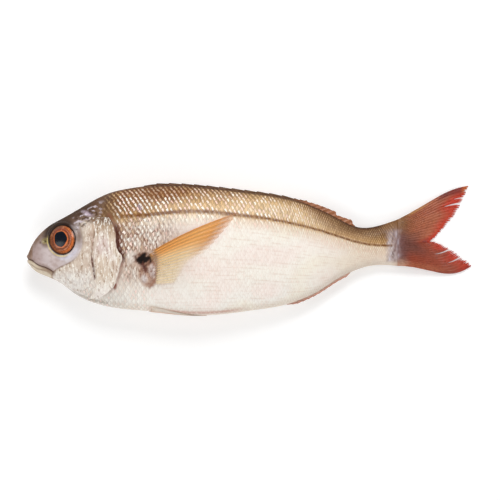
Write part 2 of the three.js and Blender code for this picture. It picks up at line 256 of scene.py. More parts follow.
def head_and_flank_places(x, y):
    """Masks for the parts of the skin, each from 0 to 1."""
    mouth, mouth_share = distance_to(MOUTH_LINE, x, y)
    cheek, cheek_share = distance_to(CHEEK_EDGE, x, y)
    lip, _ = distance_to(LIP_LINE, x, y)
    jaw_end, _ = distance_to(JAW_END, x, y)
    slit, slit_share = distance_to(GILL_SLIT, x, y)
    socket = np.hypot((x - EYE_X) / SOCKET_RADII[0], (y - EYE_Y) / SOCKET_RADII[1])
    axil = np.hypot((x - AXIL_MIDDLE[0]) / AXIL_RADII[0], (y - AXIL_MIDDLE[1]) / AXIL_RADII[1])
    return {
        "mouth": mouth,
        "mouth_share": mouth_share,
        "cheek": cheek,
        "cheek_share": cheek_share,
        "lip": lip,
        "jaw_end": jaw_end,
        "throat": distance_to(THROAT_FOLD, x, y)[0],
        "slit": slit,
        "slit_share": slit_share,
        "socket": socket,
        "front_nostril": np.hypot(x - FRONT_NOSTRIL[0], y - FRONT_NOSTRIL[1]),
        "hind_nostril": np.hypot((x - HIND_NOSTRIL[0]) / 1.2, y - HIND_NOSTRIL[1]),
        "axil": axil,
        "axil_fold": distance_to(AXIL_FOLD, x, y)[0],
        "fin_base": np.hypot((x - FIN_BASE[0]) / 5.2, (y - FIN_BASE[1]) / 8.2),
        "base_sheen": np.hypot((x - FIN_BASE_SHEEN[0]) / 2.6, (y - FIN_BASE_SHEEN[1]) / 3.6),
    }


PECTORAL_RAYS = 15
PECTORAL_LENGTH = 53  # its longest ray, along the upper edge
PECTORAL_LAST_RAY = 16
PECTORAL_BASE = 17.5
PECTORAL_ROOT_PLACE = (68.6, -1.6)
PECTORAL_ROOT_SLANT = 3.0
PECTORAL_RISE = (math.radians(24.3), math.radians(6))
PECTORAL_TAPER = 1.5  # over 1, the rays behind the longest ones shorten faster
PECTORAL_BOW = 1.7  # how far the upper edge curves out between root and tip
PECTORAL_LIFT = 0.2


def pectoral_place(across, along):
    """A place in a pectoral fin: across counts the rays from the upper edge, along runs out on a ray."""
    rise = PECTORAL_RISE[0] + (PECTORAL_RISE[1] - PECTORAL_RISE[0]) * across
    spread = np.maximum(0, 1 - across) ** PECTORAL_TAPER
    length = PECTORAL_LAST_RAY + (PECTORAL_LENGTH - PECTORAL_LAST_RAY) * spread
    return (
        PECTORAL_ROOT_PLACE[0] + PECTORAL_ROOT_SLANT * across + along * length * np.cos(rise),
        PECTORAL_ROOT_PLACE[1] - across * PECTORAL_BASE + along * length * np.sin(rise)
        + PECTORAL_BOW * (1 - across) * np.sin(math.pi * np.clip(along, 0, 1)),
    )


def under_pectoral(x, y):
    """1 where a pectoral fin lies on the flank."""
    depth = (PECTORAL_ROOT_PLACE[1] - y) / PECTORAL_BASE
    reach = x - PECTORAL_ROOT_PLACE[0]
    across = np.clip(depth, 0, 1)
    for _ in range(12):
        rise = PECTORAL_RISE[0] + (PECTORAL_RISE[1] - PECTORAL_RISE[0]) * across
        across = depth + np.maximum(0, reach) * np.tan(rise) / PECTORAL_BASE
    hind_x, _ = pectoral_place(np.clip(across, 0, 1), 1)
    inside = smooth(-0.03, 0, across) * (1 - smooth(1, 1.03, across))
    return inside * smooth(-1, 0, reach) * (1 - smooth(0, 1.2, x - hind_x))


def gill_front(y):
    """Where the gill cover's front edge lies at a height, behind the cheek."""
    return np.interp(y, CHEEK_HIND[::-1, 1], CHEEK_HIND[::-1, 0])


def gill_hind(y):
    return np.interp(y, GILL_SLIT[::-1, 1], GILL_SLIT[::-1, 0])


def skin_relief(x, y, places):
    """How far the real skin stands out of the smooth form, in mm."""
    relief = np.zeros(x.shape)
    relief -= 0.75 * ridge(places["mouth"], 0.75)
    relief += 0.35 * ridge(np.abs(places["mouth"] - 1.6), 1.3) * (x < 16)
    relief -= 0.35 * ridge(places["lip"], 0.8)
    relief -= 0.3 * ridge(places["jaw_end"], 0.8)
    under_cheek = band(places["cheek_share"], 0, 0.12, 0.55, 1)
    relief -= 0.45 * ridge(places["cheek"], 1.0) * (0.25 + under_cheek)
    relief += 0.55 * ridge(np.abs(places["socket"] - 1.12), 0.16)
    relief -= 3.4 * (1 - smooth(0.9, 1.04, places["socket"]))
    relief -= 0.7 * ridge(places["front_nostril"], 0.9)
    relief -= 0.9 * ridge(places["hind_nostril"], 1.2)
    relief += 0.3 * ridge(np.abs(places["hind_nostril"] - 1.6), 0.8)
    slit_depth = band(places["slit_share"], 0.02, 0.2, 0.78, 0.97)
    relief -= 0.55 * ridge(places["slit"], 1.9) * (0.25 + slit_depth)
    front, hind = gill_front(y), gill_hind(y)
    relief -= 0.5 * ridge(np.abs(x - front - 0.2), 0.9) * band(y, -18, -14, 4, 10)
    under_cover = smooth(front, front + 1.4, x) * (1 - smooth(hind - 3.0, hind - 1.0, x))
    relief -= 1.1 * under_cover * band(y, -27.5, -25, 17, 19)
    relief += 0.9 * (1 - smooth(0.3, 1.1, places["fin_base"]))
    relief += 0.35 * ridge(places["base_sheen"], 1.0)
    relief -= 0.45 * ridge(places["throat"], 0.9)
    relief -= 1.6 * (1 - smooth(0.3, 1.3, places["axil"]))
    relief -= 0.8 * ridge(places["axil_fold"], 1.6)
    relief += 0.18 * ridge(np.abs(y - lateral_height(x)), 0.9) * smooth(50, 54, x)
    return relief


HEAD_SHARE = 0.27
HEAD_RINGS = 176
TRUNK_RINGS = 200
RING_POINTS = 262


def grid_object(name, points, closed_around=False, caps=False, maps=None, tones=None, values=None):
    """A mesh from a grid of points, with UV maps, colours and numbers given on the same grid."""
    points = np.asarray(points, float)
    rows, columns = points.shape[:2]
    index = np.arange(rows * columns).reshape(rows, columns)
    beside = np.roll(index, -1, axis=1) if closed_around else index[:, 1:]
    here = index if closed_around else index[:, :-1]
    faces = np.stack([here[:-1], here[1:], beside[1:], beside[:-1]], axis=-1).reshape(-1, 4).tolist()
    if caps:
        faces.append(index[0].tolist())
        faces.append(index[-1][::-1].tolist())
    mesh = bpy.data.meshes.new(name)
    mesh.from_pydata(points.reshape(-1, 3).tolist(), [], faces)
    corners = np.zeros(len(mesh.loops), np.int64)
    mesh.loops.foreach_get("vertex_index", corners)
    for map_name, (u, v) in (maps or {}).items():
        layer = mesh.uv_layers.new(name=map_name)
        pairs = np.stack([np.ravel(u)[corners], np.ravel(v)[corners]], axis=-1)
        layer.data.foreach_set("uv", pairs.astype(np.float32).ravel())
    for tone_name, tone in (tones or {}).items():
        layer = mesh.color_attributes.new(tone_name, "FLOAT_COLOR", "POINT")
        full = np.concatenate([tone.reshape(-1, 3), np.ones((rows * columns, 1))], axis=1)
        layer.data.foreach_set("color", full.astype(np.float32).ravel())
    for value_name, value in (values or {}).items():
        layer = mesh.attributes.new(value_name, "FLOAT", "POINT")
        layer.data.foreach_set("value", np.ravel(value).astype(np.float32))
    rounded = np.ones(len(mesh.polygons), bool)
    if caps:
        rounded[-2:] = False
    mesh.polygons.foreach_set("use_smooth", rounded)
    mesh.update()
    piece = bpy.data.objects.new(name, mesh)
    bpy.context.scene.collection.objects.link(piece)
    return piece


def srgb(red, green, blue):
    """A colour as the eye reads it, from 0 to 255, made linear for the shader."""
    c = np.array([red, green, blue], float) / 255
    return np.where(c <= 0.04045, c / 12.92, ((c + 0.055) / 1.055) ** 2.4)


def plain_tone(colour, x):
    """One colour at every place of a grid."""
    return np.zeros((*x.shape, 3)) + colour


def lay(tone, *layers):
    """Lays colours over a tone in turn, each where its own mask is 1."""
    for colour, mask in layers:
        tone = tone + (colour - tone) * np.clip(mask, 0, 1)[..., None]
    return tone


def soft_noise(x, y, seed):
    """Slow, even variation from -1 to 1: a few waves that cross each other."""
    chance = np.random.default_rng(seed)
    total = np.zeros(np.shape(x))
    for _ in range(9):
        turn = chance.uniform(0, math.tau)
        rate = chance.uniform(0.12, 0.75)
        total += np.sin(rate * (x * math.cos(turn) + y * math.sin(turn)) + chance.uniform(0, math.tau))
    return total / 4.5


SILVER = srgb(249, 243, 233)
WARM_WHITE = srgb(244, 239, 231)
FLANK_PINK = srgb(248, 234, 226)
FLANK_YELLOW = srgb(247, 239, 218)
SHOULDER_PINK = srgb(180, 146, 124)
SHOULDER_BROWN = srgb(112, 64, 42)
BACK_GOLD = srgb(222, 184, 130)
GOLDEN_BROWN = srgb(136, 82, 34)
PALE_GOLD = srgb(236, 214, 184)
PEDUNCLE_PALE = srgb(218, 194, 172)
BACK_EDGE_BROWN = srgb(74, 42, 20)
PEDUNCLE_BROWN = srgb(98, 60, 24)
PATCH_VIOLET = srgb(182, 166, 168)
PATCH_DARK = srgb(112, 88, 86)
TAIL_ROOT_OLIVE = srgb(136, 96, 60)
TAIL_ROOT_VIOLET = srgb(122, 84, 80)
TAIL_ROOT_PINK = srgb(190, 148, 124)
BELLY_EDGE_SHADE = srgb(214, 200, 184)
BELLY_RED = srgb(184, 112, 92)
CHEEK_BEIGE = srgb(216, 199, 182)
LILAC = srgb(210, 200, 201)
SNOUT_PINK = srgb(196, 172, 164)
SNOUT_ROSE = srgb(172, 147, 142)
ORBIT_SHEEN = srgb(212, 208, 220)
BROW_BROWN = srgb(52, 30, 14)
NAPE_SHEEN = srgb(212, 196, 214)
CHIN_WHITE = srgb(230, 223, 216)
THROAT_SHADE = srgb(172, 162, 152)
JAW_BEIGE = srgb(214, 198, 174)
LIP_BROWN = srgb(142, 112, 92)
SNOUT_BROWN = srgb(118, 88, 62)
NAPE_BROWN = srgb(100, 68, 44)
FOREHEAD_BROWN = srgb(62, 38, 18)
ORBIT_DARK = srgb(34, 24, 20)
ORBIT_YELLOW = srgb(226, 208, 120)
NOSTRIL_YELLOW = srgb(190, 178, 120)
SLIT_BROWN = srgb(84, 36, 18)
SLIT_RED = srgb(132, 78, 64)
AXIL_BLACK = srgb(18, 3, 0)
AXIL_RED = srgb(74, 16, 14)
AXIL_BROWN = srgb(136, 92, 72)
AXIL_RIM = srgb(138, 82, 48)
FIN_BASE_BROWN = srgb(184, 146, 122)
FIN_BASE_LILAC = srgb(224, 214, 212)
LATERAL_BROWN = srgb(112, 62, 4)
LATERAL_GOLD = srgb(180, 122, 54)


def over_tail_base(tone, x, y, across):
    """Lays the tail base's colours over a tone, behind the wavy line where the scales end."""
    wavy = x + 1.3 * soft_noise(x, y, 3) + 1.2 * soft_noise(2.5 * x, 2.5 * y, 13)
    patch = smooth(199.5, 204.5, wavy) * band(across, 0.1, 0.3, 0.86, 0.97)
    mottling = soft_noise(5 * x, 2.6 * y, 17)
    base = lay(
        plain_tone(TAIL_ROOT_OLIVE, x),
        (TAIL_ROOT_VIOLET, smooth(0.12, 0.45, across)),
        (TAIL_ROOT_PINK, smooth(0.78, 0.98, across)),
    )
    return lay(
        tone,
        (PATCH_VIOLET, patch * 0.85),
        (PATCH_DARK, patch * smooth(0.0, 0.7, mottling) * 0.75),
        (ORBIT_SHEEN, patch * smooth(0.25, 0.8, -mottling) * 0.7),
        (TAIL_ROOT_OLIVE, smooth(196, 203, x) * (1 - smooth(0.08, 0.26, across)) * 0.8),
        (base, smooth(205.6, 211.4, wavy)),
    )


def edge_gaps(x, level):
    """How far a place lies from the back's edge and from the belly's edge, in mm."""
    station = x * MM / standard_length
    depth = (back_y(station) - belly_y(station)) / MM
    return (1 - level) / 2 * depth, (1 + level) / 2 * depth


def flank_colours(x, y, level):
    """Silver flanks under a golden brown back with a dark edge, as far as the tail base, with painted shade
    along the belly's edge.
    """
    from_back, from_belly = edge_gaps(x, level)
    noise = soft_noise(x, y, 3)
    slow = soft_noise(x * 0.35, y * 0.5, 5)
    above = y - lateral_height(x)
    bright_below = smooth(-11, -3, above) * smooth(56, 66, x)
    behind_cover = 1 - smooth(0.5, 1.1, np.hypot((x - 59) / 4, (y + 3.5) / 5))
    brown = smooth(-1.2, 1.0, above + 0.5 * noise)
    deep = above + 3 * ridge(np.abs(x - 78), 18) + 7 * smooth(148, 176, x) - 6 * ridge(np.abs(x - 136), 36)
    golden = smooth(0, 16, deep + 1.2 * slow) * (1 + 0.3 * ridge(np.abs(x - 80), 20))
    belly_line = ridge(np.abs(from_belly - 1.6), 1.3) * smooth(66, 72, x) * smooth(126, 112, x)
    tone = lay(
        plain_tone(SILVER, x),
        (WARM_WHITE, smooth(-10, -26, y + 2 * noise) * 0.8),
        (FLANK_PINK, smooth(-0.1, 0.9, slow) * 0.8),
        (FLANK_YELLOW, smooth(0.1, 0.9, -slow) * smooth(95, 130, x) * 0.5),
        (SHOULDER_PINK, (1 - smooth(60, 104, x)) * smooth(-30, -2, y) * (0.9 - 0.5 * bright_below)),
        (WARM_WHITE, behind_cover * 0.6),
        (BACK_GOLD, brown),
        (GOLDEN_BROWN, brown * golden),
        (PALE_GOLD, brown * ridge(np.abs(x - 140), 46) * (1 - smooth(3, 13, above)) * 0.6),
        (SHOULDER_BROWN, brown * (1 - smooth(60, 86, x)) * 0.45),
        (LATERAL_GOLD, ridge(np.abs(above), 2.6) * (0.75 - 0.35 * smooth(150, 180, x))),
        (BACK_GOLD, (1 - brown) * (0.5 * smooth(-10, 0, above) + 0.3 * smooth(-3, 0, above))),
        (PEDUNCLE_BROWN, smooth(152, 180, x) * smooth(0.6, 6.5, above) * 0.7),
        (PEDUNCLE_PALE, smooth(150, 204, x) * smooth(0, -2, above) * 0.7),
        (BACK_EDGE_BROWN, (1 - smooth(0.8, 5.0, from_back)) * 0.4),
        (BACK_EDGE_BROWN, (1 - smooth(0.4, 1.6, from_back)) * 0.8),
        # Painted shade along the belly's edge, where the round side turns away from the light.
        (BELLY_EDGE_SHADE, (1 - smooth(0.5, 5.0, from_belly)) * smooth(30, 60, x) * 0.7),
        (BELLY_RED, belly_line * 0.6),
    )
    return over_tail_base(tone, x, y, (1 - level) / 2)


def head_colours(tone, x, y, from_back, places):
    """The head is bare: a brown forehead and brow, a lilac snout and cheek, and beige jaws."""
    noise = soft_noise(x, y, 3)
    near_back = from_back + 1.2 * noise
    head = 1 - smooth(33, 42, x + 1.2 * noise - 0.35 * np.maximum(0, y - 12))
    cheek_edge = np.interp(y, CHEEK_EDGE[:, 1], CHEEK_EDGE[:, 0], left=15)
    under_eye = head * (1 - smooth(-0.4, 0.6, x - cheek_edge))
    orbit_sheen = ridge(np.abs(places["socket"] - 1.28), 0.2) * smooth(4, -3, y) * smooth(15, 22, x)
    mouth_height = np.interp(x, MOUTH_LINE[:, 0], MOUTH_LINE[:, 1])
    below_mouth = smooth(-0.2, 0.5, mouth_height - y)
    under_lip = mouth_height - 2.6 - y + 0.12 * x
    brow_reach = 1 + 0.25 * smooth(EYE_X - 2, EYE_X - 7, x)
    brow = 1 - smooth(0.2 * brow_reach, 0.6 * brow_reach, places["socket"] - 1.0)
    brow = brow * smooth(-3, 3, y - EYE_Y + 0.3 * (EYE_X - x))
    before_eye = ridge(np.hypot((x - 10.5) / 3.2, (y - 4.6) / 4.6), 1.1)
    behind_brow = ridge(np.hypot((x - 29.6) / 4.4, (y - 7.5) / 9.0), 1.0)
    return lay(
        tone,
        (CHEEK_BEIGE, head),
        (LILAC, under_eye),
        (SNOUT_PINK, under_eye * smooth(-0.2, 0.9, noise) * 0.5),
        (SNOUT_ROSE, under_eye * (1 - smooth(5, 14, x + 0.6 * noise)) * 0.85),
        (ORBIT_SHEEN, head * orbit_sheen),
        (CHIN_WHITE, head * smooth(-9, -16, y) * smooth(13.5, 17, x)),
        # Painted shade low on the throat.
        (THROAT_SHADE, smooth(-21, -26, y) * band(x, 28, 36, 48, 62) * 0.3),
        (JAW_BEIGE, below_mouth * (1 - smooth(14, 15.2, x))),
        (LIP_BROWN, ridge(np.abs(under_lip), 0.7) * (1 - smooth(11, 14, x)) * 0.6),
        (LIP_BROWN, ridge(places["mouth"], 2.6) * smooth(5, 11, x) * 0.75),
        (LIP_BROWN, (1 - smooth(2.4, 3.8, x)) * (1 - below_mouth) * 0.8),
        (SNOUT_BROWN, (1 - smooth(0.8, 3.4, x + 0.3 * noise)) * smooth(-7, -2, y) * 0.6),
        (SNOUT_BROWN, head * (1 - smooth(1.5, 6, from_back)) * smooth(0.5, 6, x) * 0.85),
        (NAPE_BROWN, head * (1 - smooth(5, 12, near_back)) * smooth(10, 17, x) * 0.9),
        (FOREHEAD_BROWN, head * (1 - smooth(1, 6.5, near_back)) * smooth(8, 15, x) * 0.9),
        (BROW_BROWN, brow * (1 - 0.75 * smooth(EYE_X + 3, EYE_X + 8, x))),
        (SNOUT_BROWN, before_eye * 0.75),
        (SNOUT_BROWN, behind_brow * 0.8),
    )


def nape_colours(tone, x, y):
    """The brown nape and shoulder, with a lilac sheen and a painted lilac highlight where one scale is lost.
    """
    noise = soft_noise(x, y, 3)
    sheen = np.hypot((x - 34.5) / 5.0, (y - 20.3 + 0.35 * (x - 34.5)) / 1.9)
    sheen_line = ridge(np.abs(y - 17.2 + 0.02 * (x - 34) ** 2), 0.55) * ridge(np.abs(x - 34.5), 4)
    lost_scale_highlight = np.hypot((x - 63.4) / 1.5, (y - 23.6) / 2.6)
    nape = smooth(34, 39, x) * (1 - smooth(47, 56, x + 1.5 * noise)) * smooth(14, 18, y)
    behind_slit = band(x - gill_hind(y), -0.3, 0.6, 1.4, 5.2)
    return lay(
        tone,
        (NAPE_SHEEN, ridge(sheen + 0.25 * noise, 1.0) * 0.85),
        (NAPE_SHEEN, sheen_line * 0.7),
        # A painted highlight where one scale is lost.
        (NAPE_SHEEN, (1 - smooth(0.6, 1.1, lost_scale_highlight)) * 0.9),
        (NAPE_BROWN, nape * 0.75),
        (GOLDEN_BROWN, band(x, 46, 52, 62, 74) * smooth(0, 3, y - lateral_height(x)) * 0.35),
        (SHOULDER_BROWN, behind_slit * band(y, -3, 1, 12, 17) * 0.95),
    )


def mark_colours(tone, x, y, places):
    """Small marks: the eye socket's rim, the nostrils, the mouth, the gill slit, and painted shade in the
    throat's fold.
    """
    rim = places["socket"]
    low_front = smooth(0.35, 1.1, (EYE_X - x) / 8 + (EYE_Y - y) / 8)
    yellow_rim = ridge(np.abs(rim - 1.12), 0.06) * low_front * smooth(3, -1, y - EYE_Y)
    mouth = ridge(places["mouth"], 0.6) * smooth(-0.1, 0.2, places["mouth_share"])
    cheek = ridge(places["cheek"], 0.8) * (1 - smooth(0.3, 0.7, places["cheek_share"]))
    slit_share = places["slit_share"]
    slit_edge = ridge(places["slit"], 1.9) * (1 - smooth(0.8, 0.95, slit_share))
    slit_core = ridge(np.maximum(0, places["slit"] - 0.6), 1.9) * band(slit_share, 0.05, 0.2, 0.44, 0.56)
    slit_spot = np.hypot((x - 49.8) / 1.3, (y + 20.3) / 2.2)
    cheek_slit = 1 - smooth(0.4, 1.1, np.abs(x - gill_front(y) - 0.1))
    return lay(
        tone,
        (ORBIT_YELLOW, yellow_rim * 0.95),
        (ORBIT_DARK, 1 - smooth(1.02, 1.08, rim)),
        (NOSTRIL_YELLOW, ridge(places["hind_nostril"], 2.4) * 0.8),
        (SNOUT_BROWN, ridge(places["front_nostril"], 1.2) * 0.8),
        (ORBIT_DARK, ridge(places["hind_nostril"], 1.0) * 0.8),
        (SLIT_BROWN, mouth * 0.9),
        (LIP_BROWN, cheek * 0.75),
        (LIP_BROWN, ridge(places["jaw_end"], 0.7) * 0.7),
        (SLIT_RED, slit_edge * 0.5),
        (SLIT_RED, 1 - smooth(0.5, 1.1, slit_spot)),
        (SLIT_BROWN, slit_core),
        (SLIT_BROWN, cheek_slit * band(y, -17.5, -14.5, -4.5, -2)),
        (NAPE_BROWN, cheek_slit * band(y, -4.5, -2, 9, 13) * 0.5),
        # Painted shade in the throat's fold.
        (THROAT_SHADE, ridge(places["throat"], 1.7) * 0.6),
    )


def fin_base_colours(tone, x, y, places):
    """The pectoral fin's fleshy base, and the black pocket over it with its red fold."""
    noise = soft_noise(x, y, 3)
    base = places["fin_base"]
    fleshy = (1 - smooth(0.7, 1, base)) * smooth(0.0, 0.6, soft_noise(x * 5, y * 5, 29))
    ragged = soft_noise(x * 3.2, y * 3.2, 9) + soft_noise(x * 7, y * 7, 31)
    pocket = places["axil"] + 0.22 * ragged - 0.3 * ridge(places["axil_fold"], 2.4)
    return lay(
        tone,
        (FIN_BASE_BROWN, (1 - smooth(0.75, 1.1, base + 0.12 * noise)) * 0.9),
        (FIN_BASE_LILAC, smooth(0.1, 0.7, noise) * (1 - smooth(0.7, 1, base)) * 0.7),
        (AXIL_BROWN, fleshy * 0.75),
        (FIN_BASE_LILAC, ridge(places["base_sheen"], 1.1)),
        (AXIL_RIM, ridge(np.abs(base - 0.92), 0.3) * smooth(66, 70, x) * 0.85),
        (AXIL_BROWN, (1 - smooth(0.75, 1.15, pocket)) * 0.9),
        (AXIL_RED, ridge(places["axil_fold"], 2.0) * 0.9),
        (AXIL_BLACK, 1 - smooth(0.5, 0.95, pocket)),
    )


def skin_colours(x, y, level, places):
    """The skin's colour at each place, from the widest layers to the smallest marks."""
    from_back, _ = edge_gaps(x, level)
    tone = head_colours(flank_colours(x, y, level), x, y, from_back, places)
    tone = mark_colours(nape_colours(tone, x, y), x, y, places)
    return fin_base_colours(tone, x, y, places)


def lateral_line_mark(x, y):
    """A dark line with an uneven edge, widest at the gill slit and thinning to the tail."""
    width = 1.5 - 0.55 * smooth(112, 140, x)
    off = np.abs(y - lateral_height(x) - 0.15 * soft_noise(x * 2, 0 * x, 7))
    return (1 - smooth(0.35 * width, width, off)) * band(x, 50, 54, 203, 207)


def scale_places(stations, levels):
    """How many scales along the flank, and how many rows round the skin from the lateral line."""
    x = stations * standard_length / MM
    pitch = 2.5 - 0.7 * smooth(130, 205, x)
    fine = np.sin(np.linspace(-math.pi / 2, math.pi / 2, 361))
    rows = np.zeros(levels.shape)
    for i, station in enumerate(stations[:, 0]):
        y = level_y(station, fine)
        round_skin = np.hypot(np.diff(y), np.diff(half_thickness(station, fine))) / MM
        way = np.r_[0, np.cumsum(round_skin)]
        lateral = np.interp(mid_y + lateral_height(x[i, 0]) * MM, y, way)
        rows[i] = np.interp(levels[i], fine, way) - lateral
    depth_share = (back_y(stations) - belly_y(stations)) / (2 * half_depth)
    return x / pitch, rows / (0.8 + 1.55 * depth_share)


def bare_share(x, y, places):
    """1 where the skin has no scales."""
    head = 1 - smooth(38.5, 43, x - 0.25 * (y - 16))
    folds = ridge(places["slit"], 1.6 + 2.4 * smooth(-3, 2, y)) + 1 - smooth(0.9, 1.7, places["axil"])
    fin_base = 1 - smooth(0.8, 1.1, places["fin_base"])
    tail_base = 0.4 * smooth(198, 202, x) + smooth(205, 207.5, x)
    return np.clip(head + folds + fin_base + tail_base, 0, 1)


def contrast_share(x, y):
    """How plainly the scales show: most on the back and shoulder, and least low on the hind flank."""
    above = y - lateral_height(x)
    share = np.maximum(0.16 + 0.84 * smooth(-2, 1, above), 0.55 * smooth(-14, 0, above))
    share = np.maximum(share, 0.75 * (1 - smooth(64, 98, x)) * smooth(-20, 2, y))
    share = np.maximum(share, 0.45 * (1 - smooth(60, 84, x)))
    return np.maximum(share, 0.85 * smooth(-10, -2, above) * (1 - smooth(104, 128, x)))


def glinting_share(x, y, from_back):
    """How brightly the scales glint: most on the shoulder, and little on the nape and hind back."""
    above = y - lateral_height(x)
    share = 0.95 - 0.35 * smooth(3, 13, above) * (1 - 0.6 * ridge(np.abs(x - 120), 60))
    share = np.maximum(share, (1 - smooth(64, 86, x)) * (1 - 0.3 * smooth(8, 13, above)))
    share = share * smooth(0.0, 2.0, from_back)
    share = share * (1 - 0.8 * (1 - smooth(43, 54, x)) * smooth(14, 20, y))
    return share * (1 - 0.55 * smooth(148, 176, x) * smooth(-1, 2, above))


def shoulder_share(x, y, places):
    """1 on the shoulder's finely wrinkled skin, below the lateral line, which also gets painted highlight
    spots.
    """
    share = (1 - smooth(70, 92, x)) * smooth(0.5, -1.5, y - lateral_height(x)) * smooth(-24, -8, y)
    return share * smooth(52, 57, x) * smooth(1.0, 2.2, places["axil"])


def gleaming_share(x, from_back):
    """1 on the nape, where the bare brown skin is mottled with a lilac gleam."""
    return band(from_back, 1.5, 4, 10, 14) * band(x, 24, 30, 38, 45)


def water_film(from_back, places):
    """How much of the wet film shows: little on the back's steep edge and in the axil's pocket."""
    return 0.15 * (0.15 + 0.85 * smooth(0.5, 8, from_back)) * smooth(0.8, 1.4, places["axil"])


def streaked_share(x, y, places):
    """1 on the cheek behind and below the eye, where fine streaks run down to the throat."""
    cheek_edge = np.interp(y, CHEEK_EDGE[:, 1], CHEEK_EDGE[:, 0], left=15, right=27)
    free = smooth(0.9, 2.0, np.abs(x - gill_front(y))) * smooth(0.6, 1.6, places["throat"])
    cheek = smooth(-1.5, 2.5, x - cheek_edge) * (1 - smooth(40, 44, x)) * (1 - smooth(12, 19, y))
    return cheek * free * smooth(1.1, 1.5, places["socket"] - 0.35 * smooth(-2, 3, y))


share_along = np.r_[
    HEAD_SHARE * np.linspace(0.012, 1, HEAD_RINGS) ** 1.35,
    np.linspace(HEAD_SHARE, 1, TRUNK_RINGS + 1)[1:],
]
turn_around = np.linspace(0, math.tau, RING_POINTS, endpoint=False)
station_grid, turn_grid = np.meshgrid(share_along, turn_around, indexing="ij")
level_grid = np.sin(turn_grid)
side_grid = np.where(np.cos(turn_grid) < -1e-9, -1.0, 1.0)
smooth_form = np.stack(
    [
        body_low.x + station_grid * standard_length,
        level_y(station_grid, level_grid),
        skin_z(station_grid, level_grid, side_grid),
    ],
    axis=-1,
)
body_x = (smooth_form[..., 0] - body_low.x) / MM
body_y = (smooth_form[..., 1] - mid_y) / MM
body_places = head_and_flank_places(body_x, body_y)
body_from_back, _ = edge_gaps(body_x, level_grid)


def outward(points):
    """The outward direction of a closed grid whose rings run from the back over the right flank."""
    along = np.gradient(points, axis=0)
    around = np.roll(points, -1, axis=1) - np.roll(points, 1, axis=1)
    normal = np.cross(along, around)
    return normal / np.maximum(1e-12, np.linalg.norm(normal, axis=-1, keepdims=True))


relief = skin_relief(body_x, body_y, body_places) * smooth(0, 0.06, 1 - np.abs(level_grid))
body_points = smooth_form + outward(smooth_form) * relief[..., None] * MM
hollow = (PECTORAL_LIFT + 0.7) * under_pectoral(body_x, body_y) * (side_grid < 0)
body_points[..., 2] = np.maximum(body_points[..., 2], hollow * MM)

body = grid_object(
    "body_skin",
    body_points,
    closed_around=True,
    caps=True,
    maps={"scales": scale_places(station_grid, level_grid)},
    tones={"skin_tone": skin_colours(body_x, body_y, level_grid, body_places)},
    values={
        "scale_contrast": contrast_share(body_x, body_y),
        "glinting": glinting_share(body_x, body_y, body_from_back),
        "shoulder": shoulder_share(body_x, body_y, body_places),
        "bare": bare_share(body_x, body_y, body_places),
        "streaked": streaked_share(body_x, body_y, body_places),
        "gleaming": gleaming_share(body_x, body_from_back),
        "lateral_line": lateral_line_mark(body_x, body_y),
        "water_film": water_film(body_from_back, body_places),
    },
)


def feed(tree, socket, value):
    """Gives a socket its value: a link from another socket, a number or an RGB triple."""
    if isinstance(value, bpy.types.NodeSocket):
        tree.links.new(value, socket)
    elif isinstance(value, (int, float)):
        socket.default_value = value
    else:
        socket.default_value = (*value, 1)


def maths(tree, operation, *inputs, clamp=False):
    """One Math node, fed by sockets and numbers."""
    node = tree.nodes.new("ShaderNodeMath")
    node.operation = operation
    node.use_clamp = clamp
    for socket, value in zip(node.inputs, inputs):
        feed(tree, socket, value)
    return node.outputs[0]


def fade(tree, value, low, high):
    """A Map Range node that goes evenly from 0 at low to 1 at high."""
    node = tree.nodes.new("ShaderNodeMapRange")
    node.interpolation_type = "SMOOTHSTEP"
    for socket, given in (("Value", value), ("From Min", low), ("From Max", high)):
        feed(tree, node.inputs[socket], given)
    return node.outputs["Result"]


def noise(tree, scale, detail=2.0, stretch=(1, 1, 1)):
    """Noise over the piece's own coordinates, in metres. The scale is per metre."""
    place = tree.nodes.new("ShaderNodeTexCoord")
    stretched = tree.nodes.new("ShaderNodeMapping")
    stretched.inputs["Scale"].default_value = stretch
    tree.links.new(place.outputs["Object"], stretched.inputs["Vector"])
    node = tree.nodes.new("ShaderNodeTexNoise")
    feed(tree, node.inputs["Scale"], scale)
    node.inputs["Detail"].default_value = detail
    tree.links.new(stretched.outputs[0], node.inputs["Vector"])
    return node.outputs["Fac"]


def new_group(name, inputs, outputs):
    """An empty shader node group with named number sockets, and its two end nodes."""
    group = bpy.data.node_groups.new(name, "ShaderNodeTree")
    for socket, default in inputs.items():
        made = group.interface.new_socket(socket, in_out="INPUT", socket_type="NodeSocketFloat")
        made.default_value = default
    for socket in outputs:
        group.interface.new_socket(socket, in_out="OUTPUT", socket_type="NodeSocketFloat")
    return group, group.nodes.new("NodeGroupInput"), group.nodes.new("NodeGroupOutput")


def give_out(group, result, **values):
    """Links a group's results to its output sockets."""
    for socket, value in values.items():
        group.links.new(value, result.inputs[socket])
    return group


